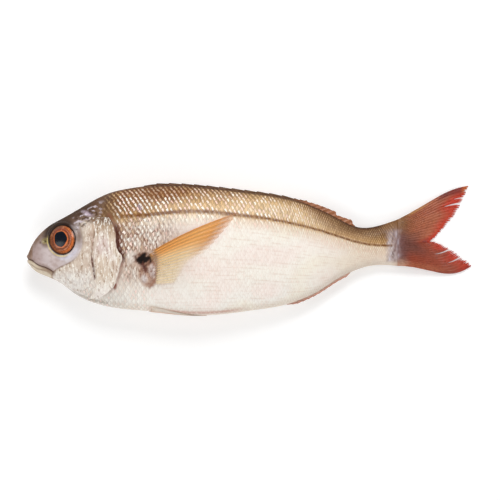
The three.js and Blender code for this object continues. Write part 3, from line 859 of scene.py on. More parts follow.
def make_scale_group():
    """Overlapping scales in staggered rows: each covers the front of the one behind it."""
    group, given, result = new_group(
        "overlapping_scales", {"Along": 0.0, "Row": 0.0}, ["Height", "Edge", "Glint", "Random", "Second"]
    )
    m = partial(maths, group)
    sway = m("MULTIPLY_ADD", noise(group, 260, 1), 0.9, -0.45)
    dip = m("MULTIPLY_ADD", noise(group, 200, 1, (1.3, 0.8, 1)), 0.7, -0.35)
    along, row = m("ADD", given.outputs["Along"], sway), m("ADD", given.outputs["Row"], dip)
    low_row = m("FLOOR", row)
    found = []
    for row_step in (0, 1):
        this_row = m("ADD", low_row, row_step)
        aside = m("SUBTRACT", row, this_row)
        shift = m("MULTIPLY", m("FLOORED_MODULO", this_row, 2), 0.5)
        round_edge = m("SQRT", m("SUBTRACT", 1.03, m("POWER", m("ABSOLUTE", aside), 3.2)))
        behind = m("SUBTRACT", m("SUBTRACT", along, shift), m("MULTIPLY", round_edge, 0.52))
        scale = m("CEIL", behind)
        middle = m("ADD", scale, shift)
        to_edge = m("SUBTRACT", scale, behind)
        found.append((middle, aside, to_edge, this_row))
    first_on_top = m("LESS_THAN", found[0][0], found[1][0])
    middle, aside, to_edge, this_row = (
        m("ADD", m("MULTIPLY", a, first_on_top), m("MULTIPLY", b, m("SUBTRACT", 1, first_on_top)))
        for a, b in zip(*found)
    )
    chance = group.nodes.new("ShaderNodeTexWhiteNoise")
    chance.noise_dimensions = "2D"
    place = group.nodes.new("ShaderNodeCombineXYZ")
    group.links.new(middle, place.inputs[0])
    group.links.new(this_row, place.inputs[1])
    group.links.new(place.outputs[0], chance.inputs["Vector"])
    random = chance.outputs["Value"]
    tints = group.nodes.new("ShaderNodeSeparateColor")
    group.links.new(chance.outputs["Color"], tints.inputs[0])
    second = tints.outputs[1]
    lean = m("MULTIPLY_ADD", fade(group, row, -9, 1), -0.42, -0.06)
    off_streak = m("ADD", m("SUBTRACT", to_edge, 0.55), m("MULTIPLY", aside, lean))
    across_streak = m("SUBTRACT", 1, m("DIVIDE", m("ABSOLUTE", off_streak), 0.27), clamp=True)
    along_streak = m("SUBTRACT", 1, m("DIVIDE", m("ABSOLUTE", aside), 0.8), clamp=True)
    glint = fade(group, m("MULTIPLY", across_streak, along_streak), 0.02, 0.3)
    # Painted shade: darker along each scale's free edge, and a shadow on the scale behind, just past that
    # edge.
    edge = m("SUBTRACT", 1, fade(group, to_edge, 0.0, 0.22))
    past_shadow = fade(group, to_edge, 0.96, 1.2)
    shadow = m("MULTIPLY", fade(group, to_edge, 0.66, 0.84), m("SUBTRACT", 1, past_shadow))
    dark = m("MAXIMUM", m("MULTIPLY", edge, 0.5), shadow)
    ribs = m("MULTIPLY", m("SINE", m("MULTIPLY", aside, 34)), m("MULTIPLY", to_edge, 0.05))
    height = m("ADD", m("SUBTRACT", 1, fade(group, to_edge, 0.02, 1.1)), ribs)
    return give_out(group, result, Height=height, Edge=dark, Glint=glint, Random=random, Second=second)


overlapping_scales = make_scale_group()


def use_group(tree, group, **inputs):
    """Places a group in a material with its own values."""
    node = tree.nodes.new("ShaderNodeGroup")
    node.node_tree = group
    for socket, value in inputs.items():
        feed(tree, node.inputs[socket], value)
    return node.outputs


def mapped_scales(tree):
    """The scales where the piece's own map lays them, and the map's count of rows."""
    where = tree.nodes.new("ShaderNodeUVMap")
    where.uv_map = "scales"
    split = tree.nodes.new("ShaderNodeSeparateXYZ")
    tree.links.new(where.outputs[0], split.inputs[0])
    along, row = split.outputs[0], split.outputs[1]
    return use_group(tree, overlapping_scales, Along=along, Row=row), row


def mix(tree, share, first, second, blend="MIX"):
    """Mixes two colours, each a socket or an RGB triple."""
    node = tree.nodes.new("ShaderNodeMix")
    node.data_type = "RGBA"
    node.blend_type = blend
    node.clamp_result = True
    for socket, value in ((node.inputs[0], share), (node.inputs[6], first), (node.inputs[7], second)):
        feed(tree, socket, value)
    return node.outputs[2]


def attribute(tree, name, output="Fac"):
    """A number, or with "Color" a colour, kept at the mesh's points."""
    node = tree.nodes.new("ShaderNodeAttribute")
    node.attribute_name = name
    return node.outputs[output]


def bump(tree, height, distance, strength=1.0):
    node = tree.nodes.new("ShaderNodeBump")
    node.inputs["Distance"].default_value = distance
    node.inputs["Strength"].default_value = strength
    tree.links.new(height, node.inputs["Height"])
    return node.outputs["Normal"]


def wet_material(name, coat=0.15, coat_roughness=0.12, specular=0.25):
    """A Principled material with a thin film of water over it."""
    material = bpy.data.materials.new(name)
    material.use_nodes = True
    shader = material.node_tree.nodes["Principled BSDF"]
    shader.inputs["Coat Weight"].default_value = coat
    shader.inputs["Coat Roughness"].default_value = coat_roughness
    shader.inputs["Specular IOR Level"].default_value = specular
    return material, material.node_tree, shader


def make_streak_group():
    """Fine upright streaks and flecks of silver skin stretched over bone."""
    group, given, result = new_group("upright_streaks", {"Strength": 1.0}, ["Bright", "Dark", "Height"])
    m = partial(maths, group)
    fine = noise(group, 1100, 2, (1, 0.2, 1))
    broad = noise(group, 700, 2, (1, 0.16, 1))
    flecks = noise(group, 1500, 2, (1, 0.6, 1))
    strength = given.outputs["Strength"]
    bright = m("MULTIPLY", fade(group, fine, 0.48, 0.6), fade(group, flecks, 0.34, 0.54))
    dark = m("MULTIPLY", fade(group, broad, 0.53, 0.64), fade(group, flecks, 0.66, 0.44))
    height = m("ADD", fine, m("MULTIPLY", flecks, 0.6))
    bright, dark, height = (m("MULTIPLY", value, strength) for value in (bright, dark, height))
    return give_out(group, result, Bright=bright, Dark=dark, Height=height)


upright_streaks = make_streak_group()


def make_mottle_group():
    """The fine, cloudy grain of wet skin, on the body and the fins."""
    group, given, result = new_group("fine_mottle", {"Scale": 420.0}, ["Grain", "Cloud"])
    grain = noise(group, given.outputs["Scale"], 4)
    return give_out(group, result, Grain=grain, Cloud=fade(group, grain, 0.42, 0.7))


fine_mottle = make_mottle_group()


GLINT_WHITE = srgb(255, 250, 240)
GLINT_PINK = srgb(255, 222, 208)
GLINT_GOLD = srgb(236, 200, 146)
GAP_BROWN = srgb(56, 28, 10)
# The gaps' colour is the skin darkened by painted shade, more on the back than on the flank.
BACK_GAP_SHADE = (0.3, 0.2, 0.1)  # how much of the skin's red, green and blue is left between scales
FLANK_GAP_SHADE = (0.72, 0.55, 0.44)
GLEAM_LILAC = srgb(220, 210, 220)
STREAK_TAN = srgb(150, 112, 80)
LINE_BROWN = srgb(112, 66, 44)
SPECKLE_SHADE = srgb(196, 168, 150)
SCALE_BUMP = 0.12 * MM


def make_skin_material():
    """Scales over the painted tones. Each group of lines lays one effect over the colour so far."""
    material, tree, shader = wet_material("wet_scaled_skin")
    m = partial(maths, tree)
    scales, row = mapped_scales(tree)
    tone = attribute(tree, "skin_tone", "Color")
    contrast = attribute(tree, "scale_contrast")
    scaled = m("SUBTRACT", 1, attribute(tree, "bare"))
    strength = m("MULTIPLY", contrast, scaled)
    patches = noise(tree, 75, 3)
    # The darker gaps between the scales, where painted shade darkens the skin under each scale's free edge,
    # and some scales that are darker all over.
    shade = mix(tree, fade(tree, contrast, 0.2, 0.7), FLANK_GAP_SHADE, BACK_GAP_SHADE)
    gap = mix(tree, 1.0, tone, shade, "MULTIPLY")
    shaded = m("MULTIPLY", m("MULTIPLY_ADD", scales["Second"], 0.4, 0.6), scales["Edge"])
    colour = mix(tree, m("MULTIPLY", shaded, strength), tone, gap)
    whole = m("MULTIPLY", m("MULTIPLY", fade(tree, scales["Second"], 0.5, 1.0), strength), 0.35)
    colour = mix(tree, whole, colour, gap)
    faint = m("MULTIPLY", m("MULTIPLY", scales["Edge"], scaled), m("MULTIPLY_ADD", patches, 0.8, -0.12))
    colour = mix(tree, faint, colour, gap)
    # Broken rows of the same painted shade on the pale flank, where single scales hardly show.
    wavy_row = m("MULTIPLY_ADD", noise(tree, 90, 2), 0.5, row)
    from_row = m("ABSOLUTE", m("SUBTRACT", m("FRACT", wavy_row), 0.5))
    unbroken = fade(tree, noise(tree, 420, 3, (0.3, 1, 1)), 0.44, 0.62)
    broken_rows = m("MULTIPLY", fade(tree, from_row, 0.22, 0.5), unbroken)
    plain_share = m("MULTIPLY", m("SUBTRACT", 1, fade(tree, contrast, 0.2, 0.5)), scaled)
    colour = mix(tree, m("MULTIPLY", m("MULTIPLY", broken_rows, plain_share), 0.3), colour, gap)
    # Fine brown wrinkles on the shoulder.
    shoulder = attribute(tree, "shoulder")
    upright = noise(tree, 520, 2, (1, 0.32, 1))
    off_line = m("DIVIDE", m("ABSOLUTE", m("SUBTRACT", upright, 0.5)), 0.065)
    wrinkles = m("MULTIPLY", m("SUBTRACT", 1, off_line, clamp=True), shoulder)
    colour = mix(tree, m("MULTIPLY", wrinkles, 0.9), colour, LINE_BROWN)
    # Painted highlights: a short bright glint on each scale, and bright spots on the shoulder.
    glinting = attribute(tree, "glinting")
    bright = m("MULTIPLY_ADD", scales["Random"], 0.7, 0.55)
    bright = m("MULTIPLY", bright, m("MULTIPLY_ADD", fade(tree, patches, 0.3, 0.6), 0.45, 0.55))
    sparkle = m("MULTIPLY", m("MULTIPLY", scales["Glint"], strength), m("MULTIPLY", bright, glinting))
    glint = mix(tree, fade(tree, scales["Second"], 0.4, 0.9), GLINT_WHITE, GLINT_PINK)
    glint = mix(tree, m("MULTIPLY", fade(tree, scales["Random"], 0.5, 0.1), contrast), glint, GLINT_GOLD)
    glint = mix(tree, fade(tree, glinting, 0.95, 0.4), glint, GLINT_GOLD)
    colour = mix(tree, m("MULTIPLY", sparkle, 1.15, clamp=True), colour, glint)
    shoulder_highlights = m("MULTIPLY", fade(tree, noise(tree, 520, 2, (1, 0.55, 1)), 0.52, 0.6), shoulder)
    colour = mix(tree, m("MULTIPLY", shoulder_highlights, 0.34), colour, GLINT_WHITE)
    # The lateral line, broken from scale to scale.
    line = m("MULTIPLY", attribute(tree, "lateral_line"), m("MULTIPLY_ADD", scales["Random"], 0.45, 0.55))
    colour = mix(tree, line, colour, LATERAL_BROWN)
    # The cheek's streaks, the nape's lilac gleam and a fine speckle, strongest on bare skin.
    streaks = use_group(tree, upright_streaks, Strength=attribute(tree, "streaked"))
    colour = mix(tree, m("MULTIPLY", streaks["Dark"], 0.6), colour, STREAK_TAN)
    colour = mix(tree, m("MULTIPLY", streaks["Bright"], 0.75), colour, GLINT_WHITE)
    gleaming = attribute(tree, "gleaming")
    cloud = noise(tree, 330, 3, (1, 1.5, 1))
    dull = m("MULTIPLY", fade(tree, cloud, 0.48, 0.36), m("MULTIPLY", gleaming, 0.75))
    colour = mix(tree, dull, colour, GAP_BROWN)
    gleam = m("MULTIPLY", fade(tree, cloud, 0.53, 0.64), m("MULTIPLY", gleaming, 0.85))
    colour = mix(tree, gleam, colour, GLEAM_LILAC)
    mottle = use_group(tree, fine_mottle, Scale=420)
    speckled = m("MULTIPLY", mottle["Cloud"], m("MULTIPLY_ADD", scaled, -0.25, 0.35))
    colour = mix(tree, speckled, colour, mix(tree, 1.0, colour, SPECKLE_SHADE, "MULTIPLY"))
    tree.links.new(colour, shader.inputs["Base Color"])
    # The water film, and a rougher skin where it is thin.
    film = attribute(tree, "water_film")
    tree.links.new(film, shader.inputs["Coat Weight"])
    rough = m("ADD", m("MULTIPLY_ADD", scales["Edge"], 0.14, 0.3), m("MULTIPLY_ADD", film, -2.4, 0.36))
    tree.links.new(m("ADD", rough, m("MULTIPLY", mottle["Grain"], 0.1)), shader.inputs["Roughness"])
    height = m("ADD", m("MULTIPLY", scales["Height"], scaled), m("MULTIPLY", streaks["Height"], 0.7))
    height = m("ADD", height, m("MULTIPLY", mottle["Grain"], 0.35))
    tree.links.new(bump(tree, height, SCALE_BUMP), shader.inputs["Normal"])
    return material


body.data.materials.append(make_skin_material())
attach(body, "root")
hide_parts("body")

# ---------------------------------------------------------------------------------------------------
# The eyes. Each is a flattened ball in its socket: a clear, wet dome over a thin orange ring round a
# blue-black pupil, in an iris that is brown in front and orange behind, with a dark rim.

EYE_RINGS = 120
EYE_POINTS = 144
EYE_RADII = (7.5, 8.3)
EYE_BULGE = 1.5
EYE_SUNK = 0.75
EYE_BACK = 6.0
EYE_BUMP = 0.04 * MM
PUPIL_MIDDLE = (19.35, 6.15)
PUPIL_RADII = (3.6, 4.35)

PUPIL_BLUE = srgb(2, 8, 22)
PUPIL_RING = srgb(226, 118, 62)
IRIS_RED = srgb(150, 62, 44)
IRIS_BROWN = srgb(126, 76, 48)
IRIS_ORANGE = srgb(214, 112, 52)
IRIS_PINK = srgb(214, 142, 116)
EYE_RIM = srgb(26, 16, 14)
IRIS_DARK_FIBRE = srgb(62, 28, 20)
IRIS_LIGHT_CLOUD = srgb(238, 160, 112)
PUPIL_VEIL = srgb(58, 80, 92)


def eye_colours(x, y):
    """Rings of colour between the pupil's uneven edge and the eye's rim."""
    px, py = (x - PUPIL_MIDDLE[0]) / PUPIL_RADII[0], (y - PUPIL_MIDDLE[1]) / PUPIL_RADII[1]
    turn = np.arctan2(py, px)
    uneven = 1 + 0.025 * np.sin(3 * turn + 0.6) + 0.03 * np.cos(5 * turn)
    plain = np.hypot(px, py)
    pupil = plain / uneven
    rim = np.hypot((x - EYE_X) / EYE_RADII[0], (y - EYE_Y) / EYE_RADII[1])
    settled = plain + (pupil - plain) * (1 - smooth(1.0, 1.25, plain))
    past_pupil = np.maximum(0, settled - 1) * PUPIL_RADII[0]
    to_rim = np.maximum(0, 1 - rim) * EYE_RADII[0]
    out = past_pupil / np.maximum(1e-6, past_pupil + to_rim)
    hindward = smooth(-0.35, 0.75, np.cos(turn + 0.1))
    upward = smooth(0.1, 0.9, np.sin(turn))
    tone = lay(
        plain_tone(IRIS_BROWN, x),
        (IRIS_RED, ridge(np.abs(out - 0.36), 0.2) * (0.35 + 0.65 * upward)),
        (IRIS_ORANGE, ridge(np.abs(out - 0.68), 0.24) * hindward),
        (IRIS_ORANGE, ridge(np.abs(out - 0.62), 0.16) * (1 - upward) * 0.25),
        (IRIS_PINK, ridge(np.abs(out - 0.42), 0.07) * hindward * 0.8),
        (IRIS_BROWN, smooth(0.62, 0.8, out) * (1 - hindward) * 0.7),
        (PUPIL_RING, (1 - smooth(0.09, 0.2, out)) * (0.65 + 0.35 * hindward)),
        (EYE_RIM, smooth(0.84, 0.95, out)),
        (PUPIL_BLUE, 1 - smooth(0.97, 1.04, pupil)),
    )
    return tone, out


def eye_points(side):
    share = np.linspace(0.01, 0.99, EYE_RINGS)[:, None]
    turn = np.linspace(0, math.tau, EYE_POINTS, endpoint=False)[None, :] * side
    swing = share * math.pi
    radius = np.sin(swing)
    x = EYE_X + EYE_RADII[0] * radius * np.cos(turn)
    y = EYE_Y + EYE_RADII[1] * radius * np.sin(turn)
    station = x * MM / standard_length
    level = y_level(station, mid_y + y * MM)
    skin = skin_z(station, level, side)
    rise = EYE_BULGE * np.maximum(0, 1 - radius**2) ** 0.75 - EYE_SUNK
    depth = -EYE_SUNK - EYE_BACK * np.sqrt(np.maximum(0, 1 - radius**2))
    z = skin + side * np.where(share < 0.5, rise, depth) * MM
    return np.stack([body_low.x + x * MM, mid_y + y * MM, z], axis=-1), x, y


def make_eye_material():
    """The painted iris with fine fibres in it, and a faint blue veil over the pupil."""
    material, tree, shader = wet_material("wet_eye", coat=0.12, coat_roughness=0.03)
    m = partial(maths, tree)
    fibres = noise(tree, 1500, 3)
    cloud = noise(tree, 500, 3)
    iris = fade(tree, attribute(tree, "iris_out"), 0.02, 0.12)
    streaked = m("MULTIPLY", fade(tree, fibres, 0.42, 0.62), iris)
    colour = mix(tree, m("MULTIPLY", streaked, 0.4), attribute(tree, "eye_tone", "Color"), IRIS_DARK_FIBRE)
    lit = m("MULTIPLY", fade(tree, cloud, 0.5, 0.72), iris)
    colour = mix(tree, m("MULTIPLY", lit, 0.35), colour, IRIS_LIGHT_CLOUD)
    veil = m("MULTIPLY", fade(tree, cloud, 0.45, 0.8), m("SUBTRACT", 1, iris))
    colour = mix(tree, m("MULTIPLY", veil, 0.16), colour, PUPIL_VEIL)
    tree.links.new(colour, shader.inputs["Base Color"])
    tree.links.new(m("MULTIPLY_ADD", fibres, 0.14, 0.16), shader.inputs["Roughness"])
    tree.links.new(bump(tree, fibres, EYE_BUMP), shader.inputs["Normal"])
    return material


eye_material = make_eye_material()
for word, side in (("left", 1), ("right", -1)):
    points, eye_x, eye_y = eye_points(side)
    eye_tone, iris_out = eye_colours(eye_x, eye_y)
    ball = grid_object(
        f"{word}_eyeball",
        points,
        closed_around=True,
        caps=True,
        tones={"eye_tone": eye_tone},
        values={"iris_out": iris_out},
    )
    ball.data.materials.append(eye_material)
    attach(ball, "root")
    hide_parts(f"{word}_eye")

# ---------------------------------------------------------------------------------------------------
# The gill covers. Each is a thin bony plate under silvery skin, hinged behind the cheek and free along
# its hind edge, where it stands a little off the shoulder over the dark gill slit.

COVER_LOW = -27.3
COVER_HIGH = 18.2
COVER_PROUD = 0.65
COVER_THICKNESS = 1.0
COVER_ROWS = 150
COVER_COLUMNS = 90
COVER_SCALE = (3.1, 2.5)  # along and across, in mm

COVER_BEIGE = srgb(219, 200, 180)
COVER_TAN = srgb(176, 146, 116)
COVER_PINK = srgb(216, 194, 190)
COVER_WHITE = srgb(250, 244, 236)
EDGE_WHITE = srgb(236, 226, 214)
COVER_SCALE_SHADE = srgb(170, 140, 120)
COVER_BUMP = 0.16 * MM


def closed_sheet(name, outer, inner, tones=None, values=None, maps=None):
    """A thin closed body between two faces given on the same grid, with the same skin on both."""
    points = np.concatenate([outer, inner[:, ::-1]], axis=1)
    ahead, behind = np.roll(points, -1, axis=1), np.roll(points, 1, axis=1)
    facing = np.cross(np.gradient(points, axis=0), ahead - behind)
    outwards = np.sum(facing[:, : outer.shape[1]] * (outer - inner)) > 0
    order = slice(None) if outwards else slice(None, None, -1)

    def both(field):
        return np.concatenate([field, field[:, ::-1]], axis=1)[:, order]

    return grid_object(
        name,
        points[:, order],
        closed_around=True,
        caps=True,
        tones={key: both(field) for key, field in (tones or {}).items()},
        values={key: both(field) for key, field in (values or {}).items()},
        maps={key: tuple(both(axis) for axis in axes) for key, axes in (maps or {}).items()},
    )


def gill_cover_faces(side):
    y = np.linspace(COVER_LOW, COVER_HIGH, COVER_ROWS)[:, None]
    along = np.linspace(0, 1, COVER_COLUMNS)[None, :] ** 0.85
    front, hind = gill_front(y) - 0.4, gill_hind(y) - 0.35
    wave = 0.12 * np.sin(y * 0.9) + 0.07 * np.sin(y * 2.1 + 1)
    x = front + (hind + wave - front) * along
    y = y + 0 * x
    station = x * MM / standard_length
    level = y_level(station, mid_y + y * MM)
    ends = smooth(COVER_LOW, COVER_LOW + 5, y) * (1 - smooth(COVER_HIGH - 7, COVER_HIGH, y))
    lift = COVER_PROUD * smooth(0.1, 1, along) * (0.2 + 0.8 * ends * smooth(-16, -2, y)) - 0.12
    lift = lift - 0.3 * ridge(np.abs(along - 0.04), 0.09) * smooth(-24, -17, y) * (1 - smooth(3, 9, y))
    lift = lift + 0.16 * ridge(np.abs(along - 0.72), 0.2) + 0.05 * np.sin(x * 1.1 + 0.4 * np.sin(y * 0.5))
    edge = np.sqrt(np.clip((1 - along) / 0.05, 0, 1))
    faces = []
    for height in (lift - 0.5 * COVER_THICKNESS * (1 - edge), lift - COVER_THICKNESS * (0.5 + 0.5 * edge)):
        z = np.maximum(0, skin_z(station, level, side) + side * height * MM)
        faces.append(np.stack([body_low.x + x * MM, mid_y + y * MM, z], axis=-1))
    return faces, x, y, along


def slit_at_front(y, along):
    """1 on the dark slit between the cheek and the plate's front edge, below the eye's level."""
    return (1 - smooth(0.03, 0.09, along)) * smooth(-17.5, -14, y) * (1 - smooth(-5.5, -2.5, y))


def gill_cover_colours(x, y, along):
    drift = soft_noise(x * 1.4, y * 0.5, 11)
    front_slit = slit_at_front(y, along)
    return lay(
        plain_tone(COVER_BEIGE, x),
        (COVER_TAN, smooth(5, 15, y + drift) * 0.75),
        (COVER_TAN, smooth(0.3, 1.2, drift) * smooth(-18, 6, y) * 0.5),
        (COVER_PINK, smooth(0.1, 1, -drift) * 0.75),
        (COVER_WHITE, smooth(-14, -22, y) * 0.7),
        (COVER_WHITE, ridge(np.hypot((x - 50) / 2.2, (y + 4) / 3.4), 1.0) * 0.8),
        (EDGE_WHITE, smooth(0.9, 0.97, along) * (1 - smooth(2, 9, y)) * 0.7),
        (SLIT_RED, smooth(0.95, 0.99, along) * smooth(-0.5, 2.5, y) * 0.6),
        (SLIT_BROWN, front_slit),
        (NAPE_BROWN, ridge(along, 0.11) * band(y, -6, -2, 8, 13) * 0.65),
        (CHEEK_BEIGE, (1 - smooth(0.04, 0.25, along)) * (1 - front_slit) * 0.6),
        (NAPE_BROWN, smooth(12.5, 17, y + 0.6 * drift) * 0.8),
    )


def make_cover_material():
    """Upright streaks of silver over a faint trace of scales."""
    material, tree, shader = wet_material("silver_gill_cover", coat=0.25)
    m = partial(maths, tree)
    streaks = use_group(tree, upright_streaks, Strength=attribute(tree, "streaked"))
    scales, _ = mapped_scales(tree)
    tone = attribute(tree, "cover_tone", "Color")
    colour = mix(tree, m("MULTIPLY", streaks["Dark"], 0.75), tone, STREAK_TAN)
    # A faint trace of scales in painted shade along their edges.
    colour = mix(tree, m("MULTIPLY", scales["Edge"], 0.2), colour, COVER_SCALE_SHADE)
    colour = mix(tree, m("MULTIPLY", streaks["Bright"], 0.8), colour, GLINT_WHITE)
    tree.links.new(colour, shader.inputs["Base Color"])
    tree.links.new(m("MULTIPLY_ADD", streaks["Height"], 0.16, 0.2), shader.inputs["Roughness"])
    height = m("ADD", streaks["Height"], m("MULTIPLY", scales["Height"], 0.35))
    tree.links.new(bump(tree, height, COVER_BUMP), shader.inputs["Normal"])
    return material


cover_material = make_cover_material()
for word, side in (("left", 1), ("right", -1)):
    (outer, inner), cover_x, cover_y, cover_along = gill_cover_faces(side)
    plain_edge = np.maximum(slit_at_front(cover_y, cover_along), smooth(0.93, 0.98, cover_along))
    cover = closed_sheet(
        f"{word}_gill_plate",
        outer,
        inner,
        tones={"cover_tone": gill_cover_colours(cover_x, cover_y, cover_along)},
        values={"streaked": 1 - plain_edge},
        maps={"scales": (cover_x / COVER_SCALE[0], cover_y / COVER_SCALE[1])},
    )
    cover.data.materials.append(cover_material)
    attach(cover, "root")
    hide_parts(f"{word}_gill_cover")

# ---------------------------------------------------------------------------------------------------
# The pectoral fins. Each is a long fan of fifteen jointed rays in a thin clear skin, folded back on
# the flank. Its upper edge is stiff and amber, and the short lower rays are almost clear.

PECTORAL_ROWS = 181
PECTORAL_COLUMNS = 90
PECTORAL_SKIN = 0.28

AMBER = srgb(236, 166, 82)
AMBER_DEEP = srgb(202, 112, 34)
AMBER_PALE = srgb(255, 226, 168)
CLEAR_YELLOW = srgb(255, 238, 196)
PECTORAL_ROOT = srgb(206, 164, 128)
AMBER_RAY = srgb(232, 166, 84)
AMBER_WEB = srgb(252, 238, 214)
FIN_BLOTCH_SHADE = srgb(196, 176, 164)
FIN_BUMP = 0.1 * MM


def pectoral_faces(side):
    across = np.linspace(0, 1, PECTORAL_ROWS)[:, None]
    along = np.linspace(0, 1, PECTORAL_COLUMNS)[None, :]
    x, y = pectoral_place(across, along)
    count = across * PECTORAL_RAYS
    tip = 1.03 - 0.025 * (0.5 - 0.5 * np.cos(math.tau * count)) * smooth(0.55, 1, along)
    root_x, root_y = pectoral_place(across, 0 * along)
    x, y = root_x + (x - root_x) * tip, root_y + (y - root_y) * tip
    station = x * MM / standard_length
    level = y_level(station, mid_y + y * MM)
    ray = (0.5 + 0.5 * np.cos(math.tau * count)) ** 1.5
    stiff = 1 - 0.8 * smooth(0.02, 0.3, across)
    thickness = PECTORAL_SKIN + (0.34 + 0.35 * stiff) * ray * (1 - 0.75 * along)
    thickness = thickness * (1 - 0.6 * smooth(0.8, 1, along)) * (0.3 + 0.7 * smooth(0, 0.14, along))
    low = PECTORAL_LIFT - 0.75 * (1 - smooth(0, 0.14, along))
    low = low + 0.25 * smooth(0.05, 0.9, along) * np.sin(3 * across + 2 * along)
    faces = []
    for height in (low + thickness, low):
        z = np.maximum(0, skin_z(station, level, side) + side * height * MM)
        z = z if side > 0 else np.maximum(z, (PECTORAL_LIFT + PECTORAL_SKIN - height) * MM)
        faces.append(np.stack([body_low.x + x * MM, mid_y + y * MM, z], axis=-1))
    return faces, across + 0 * along, along + 0 * across


def pectoral_colours(across, along):
    """The fin's colours, and how much of the flank under it each place covers."""
    drift = soft_noise(along * 22, across * 9, 23)
    band_share = 1 - smooth(0.1 + 0.1 * along, 0.36 + 0.24 * along, across + 0.03 * drift)
    root = along + 0.03 * drift - 0.05 * np.sin(math.pi * across)
    tone = lay(
        plain_tone(AMBER_PALE, across),
        (CLEAR_YELLOW, smooth(0.45, 0.95, across + 0.3 * along)),
        (AMBER, band_share),
        (AMBER_DEEP, band_share * smooth(0.1, 0.9, drift) * 0.5),
        (AMBER_DEEP, (1 - smooth(0.0, 0.035, across)) * 0.4),
        (AMBER_DEEP, smooth(0.6, 1.0, along) * 0.4),
        (PECTORAL_ROOT, (1 - smooth(0.02, 0.16, root)) * smooth(0.02, 0.3, across) * 0.8),
        (AXIL_BROWN, ridge(np.abs(root - 0.03), 0.05) * 0.6),
        (AXIL_BLACK, 1 - smooth(0.06, 0.3, 0.7 * across + 11 * along + 0.05 * drift)),
    )
    cover = 0.97 - 0.62 * smooth(0.2, 0.6, across)
    cover = cover - 0.45 * smooth(0.5, 1.0, along) * smooth(0.25, 0.6, across)
    cover = np.maximum(cover, (0.95 - 0.35 * across) * (1 - smooth(0.05, 0.3, along)))
    cover = cover * (1 - 0.8 * smooth(0.78, 1, along)) * smooth(-0.05, 0.02 + 0.16 * across, root)
    return tone, np.clip(cover, 0.02, 1)


def make_ray_group():
    """Fin rays side by side: a bright ridge each, cut into short joints, in a thin darker skin."""
    group, given, result = new_group(
        "fin_rays", {"Across": 0.0, "Along": 0.0, "Branching": 0.0}, ["Ray", "Joint", "Height", "Random"]
    )
    m = partial(maths, group)
    across, along = given.outputs["Across"], given.outputs["Along"]
    single = m("MULTIPLY_ADD", m("COSINE", m("MULTIPLY", across, math.tau)), 0.5, 0.5)
    split = m("MULTIPLY_ADD", m("COSINE", m("MULTIPLY", across, 3 * math.tau)), 0.5, 0.5)
    branch = given.outputs["Branching"]
    ray = m("ADD", m("MULTIPLY", single, m("SUBTRACT", 1, branch)), m("MULTIPLY", split, branch))
    which = m("FLOOR", m("ADD", across, 0.5))
    chance = group.nodes.new("ShaderNodeTexWhiteNoise")
    chance.noise_dimensions = "1D"
    group.links.new(which, chance.inputs["W"])
    random = chance.outputs["Value"]
    step = m("FRACT", m("ADD", m("MULTIPLY", along, 1.1), m("MULTIPLY", random, 0.7)))
    joint = m("MULTIPLY", m("SUBTRACT", 1, fade(group, step, 0.0, 0.24)), ray)
    height = m("SUBTRACT", ray, m("MULTIPLY", joint, 0.4))
    return give_out(group, result, Ray=ray, Joint=joint, Height=height, Random=random)


fin_rays = make_ray_group()


def make_fin_material(name, ray_colour, web_colour, ray_strength, blotched=0.5, clear=False):
    """Jointed rays in a wet skin. A clear fin shows what lies under it between its rays."""
    material, tree, shader = wet_material(name)
    m = partial(maths, tree)
    rays = use_group(
        tree,
        fin_rays,
        Across=attribute(tree, "ray_count"),
        Along=attribute(tree, "along_ray"),
        Branching=attribute(tree, "branching"),
    )
    mottle = use_group(tree, fine_mottle, Scale=700)
    shown = attribute(tree, "ray_show")
    full = fade(tree, attribute(tree, "cover"), 0.7, 0.95) if clear else 0
    web_strength = m("MULTIPLY_ADD", full, -0.85 * ray_strength, ray_strength)
    web = m("MULTIPLY", m("SUBTRACT", 1, rays["Ray"]), web_strength)
    colour = mix(tree, m("MULTIPLY", web, shown), attribute(tree, "fin_tone", "Color"), web_colour)
    bright = m("MULTIPLY", fade(tree, rays["Ray"], 0.55, 1.0), m("MULTIPLY_ADD", rays["Random"], 0.5, 0.3))
    colour = mix(tree, m("MULTIPLY", m("MULTIPLY", bright, ray_strength), shown), colour, ray_colour)
    colour = mix(tree, m("MULTIPLY", m("MULTIPLY", rays["Joint"], 0.25), shown), colour, web_colour)
    blotch = mix(tree, 1.0, colour, FIN_BLOTCH_SHADE, "MULTIPLY")
    colour = mix(tree, m("MULTIPLY", mottle["Cloud"], blotched), colour, blotch)
    tree.links.new(colour, shader.inputs["Base Color"])
    tree.links.new(m("MULTIPLY_ADD", mottle["Grain"], 0.22, 0.3), shader.inputs["Roughness"])
    height = m("ADD", rays["Height"], m("MULTIPLY", mottle["Grain"], 0.5))
    tree.links.new(bump(tree, height, FIN_BUMP), shader.inputs["Normal"])
    if clear:
        over_ray = m("MULTIPLY_ADD", fade(tree, rays["Ray"], 0.2, 0.8), 0.35, 0.65)
        covered = m("MULTIPLY", attribute(tree, "cover"), over_ray, clamp=True)
        tree.links.new(covered, shader.inputs["Alpha"])
    return material


